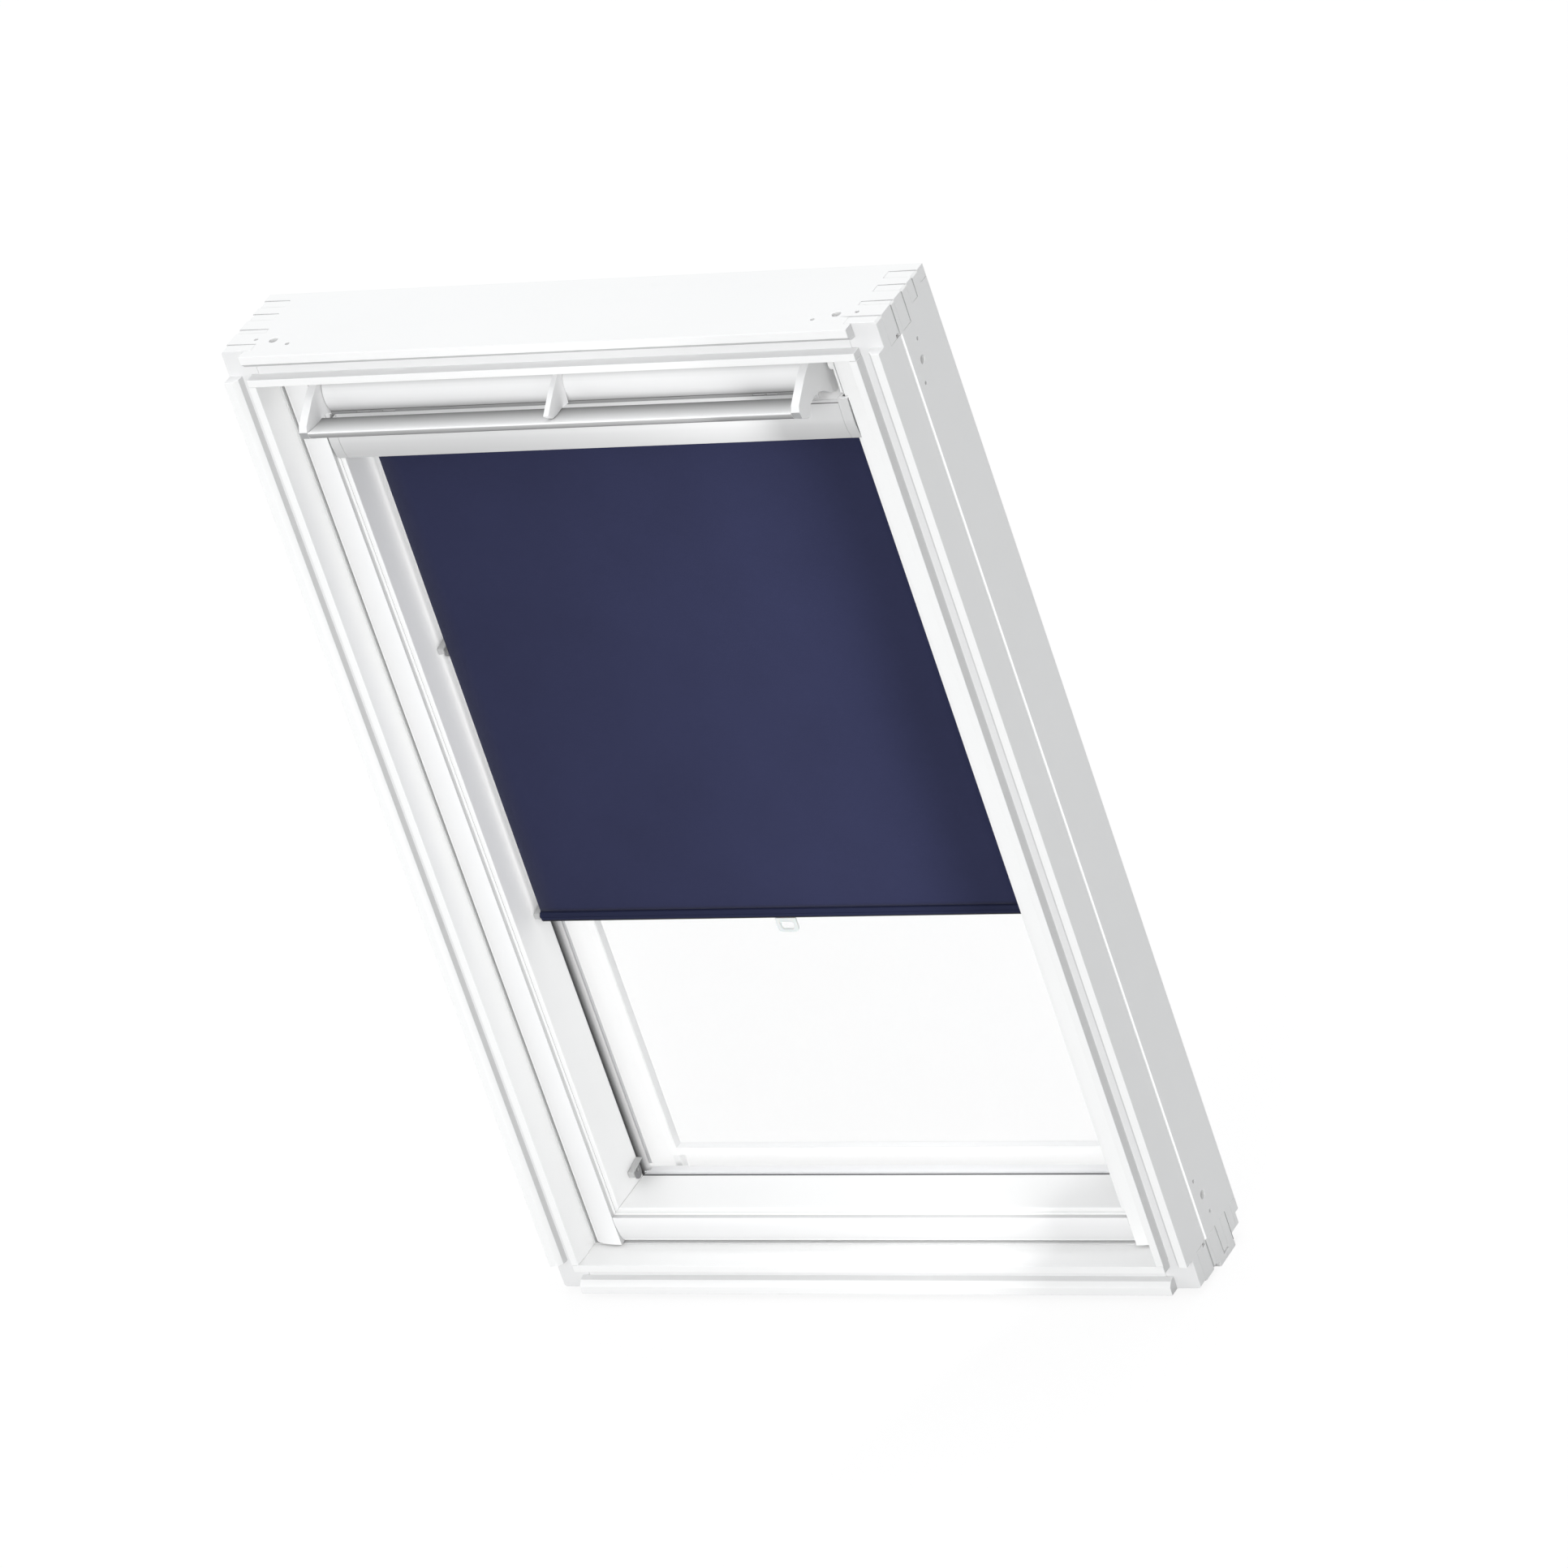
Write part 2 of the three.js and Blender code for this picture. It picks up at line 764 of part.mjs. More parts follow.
function barrelBolt() {
  const shaft = rod('x', barrelDepth, barrelHeight, barrelRadius, barrelGripStart, barrelTip);
  const half = barrelGripHeight / 2;
  const grip = block(
    barrelGripStart,
    barrelGripStart + barrelGripWidth,
    barrelDepth - half,
    barrelDepth + half,
    barrelHeight - half,
    sashTop - barrelClear,
  );
  return join(shaft, grip);
}

function barrelPocket() {
  const half = barrelGripHeight / 2 + barrelClear;
  const bore = rod('x', barrelDepth, barrelHeight, barrelRadius + barrelClear, barrelGripStart, frameWidth);
  const pocket = block(
    barrelGripStart - barrelClear,
    barrelGripStart + barrelGripWidth + barrelTravel + barrelClear,
    barrelDepth - half,
    barrelDepth + half,
    barrelHeight - half,
    sashTop + overrun,
  );
  return join(bore, pocket);
}

const bushRadius = barrelRadius + bushClear + bushWall;
const bushStart = frameWidth - frameThickness + fitGap;
const bushEnd = bushStart + barrelTravel;

function boltBush() {
  return pipe('x', barrelDepth, barrelHeight, bushRadius, bushWall, bushStart, bushEnd);
}

function bushHole() {
  return rod('x', barrelDepth, barrelHeight, bushRadius + fitGap, bushStart - overrun, bushEnd + fitGap);
}

// Glazing
function pane(front) {
  return block(paneSide, frameWidth - paneSide, front, front + paneThickness, paneBottom, paneTop);
}

function ring(outerInset, width, front, back, bottomInset, topHeight) {
  const body = block(outerInset, frameWidth - outerInset, front, back, bottomInset, topHeight);
  const hole = block(
    outerInset + width,
    frameWidth - outerInset - width,
    front - overrun,
    back + overrun,
    bottomInset + width,
    topHeight - width,
  );
  return cut(body, hole);
}

function paneSpacer() {
  const front = paneFront + paneThickness + fitGap;
  const inset = paneSide + spacerInset;
  return ring(inset, spacerWidth, front, outerPaneFront - fitGap, paneBottom + spacerInset, paneTop - spacerInset);
}

const coverInner = sashOuter + sashCoverWidth;
const coverBottomInner = sashEnd + sashCoverWidth * coverBottomShare;
const coverTopInner = topRailBottom - overrun;

function glazingGasket() {
  const front = paneBack + fitGap;
  const back = paneBack + gasketHeight;
  const body = block(
    coverInner - gasketWidth,
    frameWidth - coverInner + gasketWidth,
    front,
    back,
    coverBottomInner - gasketWidth,
    coverTopInner + gasketWidth,
  );
  const hole = block(
    coverInner,
    frameWidth - coverInner,
    0,
    back + overrun,
    coverBottomInner,
    coverTopInner,
  );
  return cut(body, hole);
}

// Folded covers over the sash, seen through the glass as a frame around the view
function sashCoverSection(outer, inner) {
  const foot = paneBack + gasketHeight + fitGap;
  const back = frameDepth + sashCoverHeight;
  const radius = sashCoverHeight * coverRoundShare;
  return [
    [outer, frameDepth + fitGap],
    [outer, back],
    ...arc(inner - radius, back - radius, radius, 90, 0),
    [inner, foot],
    [inner - gasketWidth, foot],
    [inner - gasketWidth, foot + coverSheet],
    [inner - coverSheet, foot + coverSheet],
    ...arc(inner - radius, back - radius, radius - coverSheet, 0, 90),
    [outer + coverSheet, back - coverSheet],
    [outer + coverSheet, frameDepth + fitGap],
  ];
}

function sashCoverSide() {
  const outer = sashOuter + fitGap;
  const section = sashCoverSection(outer, coverInner);
  return prism('z', section, sashEnd + sashCoverInset, sashTop - sashCoverInset);
}

function sashCoverEnd(outerHeight, innerHeight) {
  const direction = Math.sign(innerHeight - outerHeight);
  const width = Math.abs(innerHeight - outerHeight);
  const section = sashCoverSection(0, width).map(([inset, depth]) => {
    return [depth, outerHeight + direction * inset];
  });
  const start = coverInner + fitGap;
  return prism('x', section, start, frameWidth - start);
}

function frameCoverSide() {
  const base = frameDepth + fitGap;
  const outer = frameCoverStart + frameCoverWidth;
  const section = [
    [frameCoverStart, base],
    [outer, base],
    [outer, base + frameCoverHeight],
    [outer - coverSheet, base + frameCoverHeight],
    [outer - coverSheet, base + coverSheet],
    [frameCoverStart, base + coverSheet],
  ];
  return prism('z', section, hoodInset + rebateStepHeight, frameHeight - hoodHeight - hoodInset - fitGap);
}

// Hood over the head: stands clear of the sash covers that swing in below it
function hood() {
  const base = frameDepth + fitGap;
  const top = frameHeight - hoodInset;
  const back = base + hoodDepth;
  const section = [
    [base, top],
    [back, top],
    [back, top - hoodHeight],
    [back - coverSheet, top - hoodHeight],
    [back - coverSheet, top - coverSheet],
    [base + coverSheet, top - coverSheet],
    [base + coverSheet, headUnderside + overrun],
    [base, headUnderside + overrun],
  ];
  return prism('x', section, hoodInset, frameWidth - hoodInset);
}

// Ventilation flap
function fromAxle(shares) {
  return shares.map(([depth, height]) => {
    return [flapAxleDepth + depth * flapRadius, flapAxleHeight + height * flapRadius];
  });
}

const bracketOuter = reveal + bracketInset;
const bracketInner = bracketOuter + bracketWidth;

function endBracket() {
  const top = flapAxleHeight + flapRadius * bracketTopShares[0][1];
  const outline = [
    ...fromAxle(bracketTopShares),
    ...fromAxle(bracketTipShares),
    ...fromAxle(bracketHeelShares),
    ...fromAxle(bracketBackShares),
    [flapAxleDepth, flapAxleHeight],
    [flapAxleDepth, top],
  ];
  const plate = prism('x', outline, bracketOuter, bracketInner);
  const hub = rod('x', flapAxleDepth, flapAxleHeight, bracketHub, bracketOuter, bracketInner);
  const bore = rod('x', flapAxleDepth, flapAxleHeight, flapAxleRadius + fitGap, 0, frameWidth);
  return cut(join(plate, hub), bore);
}

function flapShell() {
  const outline = [
    ...arc(flapAxleDepth, flapAxleHeight, flapRadius, flapTopAngle, flapBottomAngle, roundSteps / 2),
    ...arc(flapAxleDepth, flapAxleHeight, flapRadius - flapLip, flapBottomAngle, flapBottomAngle, 1).slice(0, 1),
    ...arc(
      flapAxleDepth,
      flapAxleHeight,
      flapRadius - flapWall,
      flapBottomAngle - flapLip,
      flapTopAngle,
      roundSteps / 2,
    ),
  ];
  const start = bracketInner + fitGap;
  return prism('x', outline, start, frameWidth - start);
}

function controlBar() {
  const start = bracketInner + fitGap;
  return prism('x', fromAxle(barSectionShares), start, frameWidth - start);
}

function middleBracket() {
  const barTopShares = barSectionShares.slice(4).reverse();
  const seat = fromAxle(barTopShares).map(([depth, height]) => [depth, height + fitGap]);
  const outline = [
    ...fromAxle(bracketTopShares),
    ...seat,
    ...fromAxle(bracketHeelShares.slice(2, 3)),
    [flapAxleDepth - flapRadius, flapAxleHeight],
  ];
  const start = centre - middleBracketWidth / 2;
  const end = centre + middleBracketWidth / 2;
  const fin = prism('x', outline, start, end);
  const keepOut = flapRadius + fitGap;
  const shellTool = rod('x', flapAxleDepth, flapAxleHeight, keepOut, start - overrun, end + overrun, shellSteps);
  return cut(fin, shellTool);
}

function flapAxle() {
  const start = reveal + bearingPlate - fitGap;
  return rod('x', flapAxleDepth, flapAxleHeight, flapAxleRadius, start, frameWidth - start);
}

function flapBearing() {
  const start = reveal + fitGap;
  const boss = rod('x', flapAxleDepth, flapAxleHeight, bearingRadius, start, reveal + bearingWidth);
  const half = bearingRadius;
  const foot = block(
    start,
    start + bearingPlate,
    flapAxleDepth - half,
    flapAxleDepth + half,
    flapAxleHeight - bearingRadius - bearingFootDrop,
    flapAxleHeight,
  );
  const bore = rod('x', flapAxleDepth, flapAxleHeight, flapAxleRadius + fitGap, start - overrun, centre);
  return cut(join(boss, foot), bore);
}

// Head rail of the blind: an open aluminium case carried between two brackets
const capBracketStart = reveal + fitGap;
const capStart = capBracketStart + capBracketThickness + fitGap;
const railStart = capStart + capThickness + fitGap;
const railBottom = railTop - railDrop;

// The front bellies towards the room and draws back at its lower edge.
function railFrontCurve(inset) {
  const belly = railFront + inset;
  const curve = railBellyShares.map(([walls, drop]) => [belly + railWall * walls, railTop - railDrop * drop]);
  return [[belly + railWall / 2, railTop - railSlotDrop - railSlotHeight], ...curve];
}

function railOutline() {
  const front = railFront + railWall / 2;
  const inside = railFrontCurve(railWall).reverse();
  const slotFloor = front + railSlotDepth;
  return [
    [railBackDepth, railTop],
    [front + railSlotDrop, railTop],
    [front, railTop - railSlotDrop],
    [slotFloor, railTop - railSlotDrop],
    [slotFloor, railTop - railSlotDrop - railSlotHeight],
    ...railFrontCurve(0),
    ...inside.slice(0, 4),
    [slotFloor + railWall, railTop - railSlotDrop - railSlotHeight],
    [slotFloor + railWall, railTop - railWall],
    [railBackDepth, railTop - railWall],
  ];
}

function headRail() {
  return prism('x', railOutline(), railStart, frameWidth - railStart);
}

function railCap() {
  const front = railFront + railWall / 2;
  const outline = [
    [railBackDepth, railTop],
    [front, railTop],
    ...railFrontCurve(0),
    [railBackDepth, railBottom],
  ];
  const plate = prism('x', outline, capStart, capStart + capThickness);
  const lapBack = stepDepth - fitGap;
  const lapOutline = [
    [lapBack, railTop],
    [front, railTop],
    ...railFrontCurve(0),
    [lapBack, railBottom],
  ];
  const lap = prism('x', lapOutline, reveal - railLap, capStart + fitGap);
  const bore = rod('x', rollerDepth, rollerHeight, shaftRadius + fitGap, 0, centre);
  return cut(join(plate, lap), bore);
}

function railBracket() {
  const plate = block(
    capBracketStart,
    capBracketStart + capBracketThickness,
    stepDepth + capBracketInset / 2,
    railBackDepth - fitGap,
    railBottom + fitGap,
    railTop - fitGap,
  );
  const window = rod('x', rollerDepth, rollerHeight, capBracketInset / 2, 0, centre);
  return cut(plate, window);
}

// Roller: a tube turning on a fixed spring shaft at the left and on an idle plug at the right
const tubeStart = pinSide;
const tubeEnd = frameWidth - tubeStart;
const tubeBore = tubeRadius - tubeWall;

function rollerTube() {
  return pipe('x', rollerDepth, rollerHeight, tubeRadius, tubeWall, tubeStart, tubeEnd);
}

function fabricRoll() {
  const wall = rollRadius - tubeRadius - fitGap;
  return pipe('x', rollerDepth, rollerHeight, rollRadius, wall, fabricSide, frameWidth - fabricSide);
}

function springShaft() {
  return rod('x', rollerDepth, rollerHeight, shaftRadius, capStart, capStart + shaftLength);
}

function drivePlug() {
  const wall = tubeBore - shaftRadius - 2 * fitGap;
  return pipe('x', rollerDepth, rollerHeight, tubeBore - fitGap, wall, tubeStart, tubeStart + plugLength);
}

function idlePlug() {
  const core = rod('x', rollerDepth, rollerHeight, tubeBore - fitGap, tubeEnd - plugLength, tubeEnd);
  const pin = rod('x', rollerDepth, rollerHeight, shaftRadius, tubeEnd, frameWidth - capStart);
  return join(core, pin);
}

// Counterbalance spring: one unbroken wire wound around the shaft
function rollerSpring() {
  const start = tubeStart + plugLength + springPitch;
  const steps = springTurns * springStepsPerTurn;
  const positions = [];
  const indices = [];
  const slope = springPitch / (2 * Math.PI * springRadius);
  for (let step = 0; step <= steps; step += 1) {
    const turn = (2 * Math.PI * step) / springStepsPerTurn;
    const along = start + (springPitch * step) / springStepsPerTurn;
    const out = new THREE.Vector3(0, Math.cos(turn), Math.sin(turn));
    const tangent = new THREE.Vector3(slope, -Math.sin(turn), Math.cos(turn)).normalize();
    const side = new THREE.Vector3().crossVectors(tangent, out).normalize();
    for (let corner = 0; corner < springSides; corner += 1) {
      const angle = (2 * Math.PI * corner) / springSides;
      const point = new THREE.Vector3(along, rollerDepth, rollerHeight);
      point.addScaledVector(out, springRadius + springWire * Math.cos(angle));
      point.addScaledVector(side, springWire * Math.sin(angle));
      positions.push(point.x, point.y, point.z);
    }
  }
  for (let step = 0; step < steps; step += 1) {
    for (let corner = 0; corner < springSides; corner += 1) {
      const next = (corner + 1) % springSides;
      const near = step * springSides;
      const far = near + springSides;
      indices.push(near + corner, near + next, far + corner);
      indices.push(near + next, far + next, far + corner);
    }
  }
  for (let corner = 1; corner < springSides - 1; corner += 1) {
    const last = steps * springSides;
    indices.push(0, corner + 1, corner);
    indices.push(last, last + corner, last + corner + 1);
  }
  const geometry = new THREE.BufferGeometry();
  geometry.setAttribute('position', new THREE.Float32BufferAttribute(positions, 3));
  geometry.setIndex(indices);
  return geometry;
}

// The wire is a thin tube on a helix, so its closest approach to itself is one pitch, seen square to it.
function springLeastGap() {
  const lead = Math.atan(springPitch / (2 * Math.PI * springRadius));
  return springPitch * Math.cos(lead) - 2 * springWire;
}
console.log(`spring: least gap between turns ${springLeastGap().toFixed(2)} mm`);

// Fabric from the back of the roll to the bottom bar
const barTop = bottomBarBase + bottomBarHeight;

function fabricSheet() {
  const half = fabricThickness / 2;
  const rollBack = rollerDepth + rollRadius + half + fitGap;
  const outline = [
    [rollBack - half, rollerHeight],
    [rollBack + half, rollerHeight],
    [bottomBarDepth + half, barTop + fitGap],
    [bottomBarDepth - half, barTop + fitGap],
  ];
  return prism('x', outline, fabricSide, frameWidth - fabricSide);
}

function bottomBar() {
  const half = bottomBarThickness / 2;
  const outline = [
    ...arc(bottomBarDepth, bottomBarBase + half, half, 180, 360),
    ...arc(bottomBarDepth, barTop - half, half, 0, 180),
  ];
  return prism('x', outline, fabricSide, frameWidth - fabricSide);
}

function barPin() {
  const height = bottomBarBase + bottomBarHeight / 2;
  return rod('x', bottomBarDepth, height, barPinRadius, pinSide, fabricSide - fitGap / 2);
}

function pullTab() {
  const half = tabWidth / 2;
  const top = bottomBarBase - fitGap;
  const bottom = top - tabHeight;
  const outline = [
    [centre - half, top],
    ...arc(centre - half + tabCorner, bottom + tabCorner, tabCorner, 180, 270, 4),
    ...arc(centre + half - tabCorner, bottom + tabCorner, tabCorner, 270, 360, 4),
    [centre + half, top],
  ];
  const inner = half - tabWall;
  const corner = tabCorner / 2;
  const hole = [
    [centre - inner, top - tabPlate],
    ...arc(centre - inner + corner, bottom + tabWall + corner, corner, 180, 270, 3),
    ...arc(centre + inner - corner, bottom + tabWall + corner, corner, 270, 360, 3),
    [centre + inner, top - tabPlate],
  ];
  const front = bottomBarDepth - tabThickness / 2;
  const back = bottomBarDepth + tabThickness / 2;
  return cut(prism('y', outline, front, back), prism('y', hole, front - overrun, back + overrun));
}

// Side hooks: the bar's pins rest under an arm, behind its turned-down lip
function hookHeight(row) {
  return hookLowest + row * hookPitch;
}

function sideHook(row) {
  const height = hookHeight(row);
  const start = reveal + fitGap;
  const arm = prism('x', [
    [hookFront, height],
    [hookBack, height + hookRise],
    [hookBack, height + hookRise - hookSheet],
    [hookFront + hookSheet, height - hookSheet],
    [hookFront + hookSheet, height - hookLip],
    [hookFront, height - hookLip],
  ], start, start + hookReach);
  const plateFront = hookFront + hookNose;
  const radius = (hookBack - plateFront) / 2;
  const plate = prism('x', [
    [hookFront + hookSheet, height - hookSheet],
    [plateFront, height - hookLip],
    ...arc(hookBack - radius, height - hookDrop + radius, radius, 180, 360),
    [hookBack, height + hookRise - hookSheet / 2],
    [hookFront + hookSheet, height - hookSheet / 2],
  ], start, start + hookSheet);
  const hole = rod('x', screwDepth, screwHeight(row), screwRadius + fitGap, 0, centre, screwSides);
  return cut(join(arm, plate), hole);
}

const screwDepth = (hookFront + hookNose + hookBack) / 2;

function screwHeight(row) {
  return hookHeight(row) - hookDrop + (hookBack - hookFront - hookNose) / 2;
}

function screwHole(row) {
  const start = reveal - screwLength - fitGap;
  return rod('x', screwDepth, screwHeight(row), screwRadius + fitGap, start, reveal + overrun, screwSides);
}

// Frame
addPiece('frame_head', headMember(), whiteWood);
addPiece('frame_sill', sillMember(), whiteWood);
addPiece('frame_jamb_left', jamb(), whiteWood);
addPiece('frame_jamb_right', cut(mirrored(jamb()), bushHole()), whiteWood);
addPiece('frame_seal', sealRing(), rubber);
addPair('frame_hinge', frameHinge(), steel);
addPiece('striker_plate', strikerPlate(), steel);
addPiece('bolt_bush', boltBush(), whitePlastic);
addPair('frame_cover', frameCoverSide(), greyMetal);
addPiece('frame_cover_top', hood(), greyMetal);

// Sash
addPiece('sash_stile_left', stile(), whiteWood);
addPiece('sash_stile_right', cut(mirrored(stile()), barrelPocket()), whiteWood);
addPiece('sash_rail_bottom', bottomRail(), whiteWood);
addPiece('sash_rail_top', topRail(), whiteWood);
addPair('sash_hinge', sashHinge(), steel);
addPiece('pane_inner', pane(paneFront), glass);
addPiece('pane_outer', pane(outerPaneFront), glass);
addPiece('pane_spacer', paneSpacer(), greyMetal);
addPiece('glazing_gasket', glazingGasket(), rubber);
addPair('sash_cover', sashCoverSide(), greyMetal);
addPiece('sash_cover_bottom', sashCoverEnd(sashEnd + fitGap, coverBottomInner), greyMetal);
addPiece('sash_cover_top', sashCoverEnd(sashTop - sashCoverInset, coverTopInner), greyMetal);
addPiece('vent_filter', ventFilter(), foam);
addPiece('lock_case', lockCase(), steel);
addPiece('latch_bolt', latchBolt(), steel);
addPiece('barrel_bolt', barrelBolt(), whitePlastic);
addPair('flap_bearing', flapBearing(), whitePlastic);

// Ventilation flap
addPiece('flap_axle', flapAxle(), steel);
addPiece('vent_flap', flapShell(), whitePlastic);
addPair('flap_bracket', endBracket(), aluminium);
addPiece('flap_bracket_middle', middleBracket(), aluminium);
addPiece('control_bar', controlBar(), aluminium);

// Blind
addPair('blind_bracket', railBracket(), steel);
addPair('rail_cap', railCap(), aluminium);
addPiece('head_rail', headRail(), aluminium);
addPiece('spring_shaft', springShaft(), steel);
addPiece('roller_spring', rollerSpring(), steel);
addPiece('drive_plug', drivePlug(), whitePlastic);
addPiece('idle_plug', idlePlug(), whitePlastic);
addPiece('roller_tube', rollerTube(), aluminium);
addPiece('fabric_roll', fabricRoll(), navyFabric);
addPiece('fabric_sheet', fabricSheet(), navyFabric);
addPiece('bottom_bar', bottomBar(), navyMetal);
addPair('bar_pin', barPin(), navyMetal);
addPiece('pull_tab', pullTab(), palePlastic);
for (let row = 0; row < hookRows; row += 1) {
  addPair(`side_hook_${row + 1}`, sideHook(row), whitePlastic);
}

// The part's zero is the middle of the sill's foot.
windowGroup.position.set(-centre, -(footFrontDepth + footBackDepth) / 2, footHeight);

export default windowGroup;
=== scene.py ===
# %% [markdown]
# # A white roof window with a navy roller blind
#
# The window stands on the foot of its sill, as it would lie in a roof that has been turned upright.
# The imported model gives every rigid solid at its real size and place. This notebook gives each of them
# its real edges and finish, and models the pieces that a plain solid can't show: the cloth, the curved
# flap, the hooks with their screws and the small fixing holes.

# %% Load the window's solids
import math

import bpy
from mathutils import Matrix, Vector
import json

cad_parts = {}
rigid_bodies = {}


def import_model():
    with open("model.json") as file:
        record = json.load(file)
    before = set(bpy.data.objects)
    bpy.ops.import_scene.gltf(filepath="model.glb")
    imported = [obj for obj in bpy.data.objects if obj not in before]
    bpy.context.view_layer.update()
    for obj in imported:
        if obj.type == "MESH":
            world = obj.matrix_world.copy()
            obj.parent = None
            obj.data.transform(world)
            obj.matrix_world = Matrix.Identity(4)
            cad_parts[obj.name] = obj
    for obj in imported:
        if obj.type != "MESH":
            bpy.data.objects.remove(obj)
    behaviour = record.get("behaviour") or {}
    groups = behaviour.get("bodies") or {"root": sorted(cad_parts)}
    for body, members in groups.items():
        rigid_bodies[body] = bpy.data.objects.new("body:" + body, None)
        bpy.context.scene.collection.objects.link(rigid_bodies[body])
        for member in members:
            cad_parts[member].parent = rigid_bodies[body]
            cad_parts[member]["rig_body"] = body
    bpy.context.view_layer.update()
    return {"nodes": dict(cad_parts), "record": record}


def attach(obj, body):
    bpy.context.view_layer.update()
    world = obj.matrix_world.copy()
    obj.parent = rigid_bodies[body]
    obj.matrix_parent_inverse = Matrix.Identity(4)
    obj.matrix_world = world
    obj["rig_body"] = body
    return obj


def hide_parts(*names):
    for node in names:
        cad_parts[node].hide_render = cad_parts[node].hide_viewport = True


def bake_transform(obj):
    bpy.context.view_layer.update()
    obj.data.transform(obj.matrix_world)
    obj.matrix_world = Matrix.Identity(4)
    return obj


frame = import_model()
nodes = frame["nodes"]
print("solids:", len(nodes))

# %% [markdown]
# ## Measuring from the window's corner
#
# A joiner measures from one corner. All places below are in millimetres from the left lower corner of
# the frame's room side: x to the right, y to the outside, z up. `place` turns them into the model's metres,
# whose zero is in the middle of the sill's foot.

# %% Places in millimetres
CORNER = Vector((390.0, 81.5, -6.5))
FRAME_WIDTH, FRAME_HEIGHT, FRAME_DEPTH = 780, 1180, 113.4
MIDDLE_X = FRAME_WIDTH / 2
MIDDLE_Z = FRAME_HEIGHT / 2


def place(x, y, z):
    return (Vector((x, y, z)) - CORNER) / 1000


def size(x, y, z):
    return Vector((x, y, z)) / 1000


def deselect():
    for thing in bpy.context.selected_objects:
        thing.select_set(False)


def pick(thing):
    deselect()
    thing.select_set(True)
    bpy.context.view_layer.objects.active = thing


deselect()
print("zero of the model is at", tuple(place(*CORNER)))

# %% [markdown]
# ## The camera
#
# A long lens from far away keeps the window's edges nearly parallel. Its place was found from the
# frame's corners: it looks from the right and from above at the room side.

# %% Camera
lens_data = bpy.data.cameras.new("window_camera")
lens_data.sensor_width = 36
lens_data.lens = 265.105
lens_data.clip_end = 200
camera = bpy.data.objects.new("window_camera", lens_data)
bpy.context.scene.collection.objects.link(camera)
right = Vector((0.8613293, 0.41560656, -0.29220374))
up = Vector((0.01928914, 0.5479842, 0.83626626))
back = Vector((0.50768077, -0.72593699, 0.46397815))
turn = Matrix((right, up, back)).transposed().to_4x4()
camera.matrix_world = Matrix.Translation(place(6533.5, -8628.7, 6159.7)) @ turn
bpy.context.scene.camera = camera
print("camera at", [round(v, 3) for v in camera.location])

# %% [markdown]
# ## Light and floor
#
# White things need soft, plain light. Most of it comes evenly from the whole sky. Three broad suns give each
# direction of face its own grey: one from the room, one from above and a weak one from the left. Two panels
# close to the window are there for this view only: one in front of the left reveal, and a narrow one between
# the cloth and the glass, where no real lamp could stand. Neither shows to the camera or in reflections. The
# floor and the sky are shown white to the camera and through the glass, without lighting the window more.

# %% World
scene = bpy.context.scene
scene.view_settings.view_transform = "Standard"
scene.cycles.transparent_max_bounces = 24
world = bpy.data.worlds.new("studio")
scene.world = world
world.use_nodes = True
tree = world.node_tree
tree.nodes.clear()
out = tree.nodes.new("ShaderNodeOutputWorld")
fill = tree.nodes.new("ShaderNodeBackground")
fill.inputs["Color"].default_value = (0.97, 0.985, 1.0, 1)
fill.inputs["Strength"].default_value = 0.6
seen = tree.nodes.new("ShaderNodeBackground")
seen.inputs["Color"].default_value = (1, 1, 1, 1)
seen.inputs["Strength"].default_value = 1.0
rays = tree.nodes.new("ShaderNodeLightPath")
camera_or_glass = tree.nodes.new("ShaderNodeMath")
camera_or_glass.operation = "MAXIMUM"
chosen = tree.nodes.new("ShaderNodeMixShader")
tree.links.new(rays.outputs["Is Camera Ray"], camera_or_glass.inputs[0])
tree.links.new(rays.outputs["Is Transmission Ray"], camera_or_glass.inputs[1])
tree.links.new(camera_or_glass.outputs[0], chosen.inputs[0])
tree.links.new(fill.outputs[0], chosen.inputs[1])
tree.links.new(seen.outputs[0], chosen.inputs[2])
tree.links.new(chosen.outputs[0], out.inputs["Surface"])
print("world light", fill.inputs["Strength"].default_value)


# %% Lamps
def add_sun(name, direction, strength, angle):
    data = bpy.data.lights.new(name, "SUN")
    data.energy = strength
    data.angle = math.radians(angle)
    lamp = bpy.data.objects.new(name, data)
    scene.collection.objects.link(lamp)
    lamp.rotation_euler = Vector(direction).to_track_quat("Z", "Y").to_euler()
    return lamp


def add_panel(name, at, aim, wide, tall, watts):
    data = bpy.data.lights.new(name, "AREA")
    data.shape = "RECTANGLE"
    data.energy = watts
    data.size = wide
    data.size_y = tall
    lamp = bpy.data.objects.new(name, data)
    scene.collection.objects.link(lamp)
    lamp.location = at
    lamp.rotation_euler = (Vector(at) - Vector(aim)).to_track_quat("Z", "Y").to_euler()
    lamp.visible_camera = False
    lamp.visible_glossy = False
    return lamp


key = add_sun("front_lamp", (0.2, -0.94, 0.24), 1.3, 30)
top = add_sun("top_lamp", (0.0, 0.15, 1.0), 1.1, 30)
side = add_sun("side_lamp", (-1.0, -0.35, 0.2), 0.5, 40)
panel = add_panel("opening_lamp", place(560, -120, 590), place(83, 60, 590), 0.25, 1.0, 1.15)
strip = add_panel("cloth_edge_lamp", place(97, 99.5, 740), place(83, 99.5, 740), 0.006, 0.58, 0.018)
print("lamps:", key.name, top.name, side.name, panel.name, strip.name)

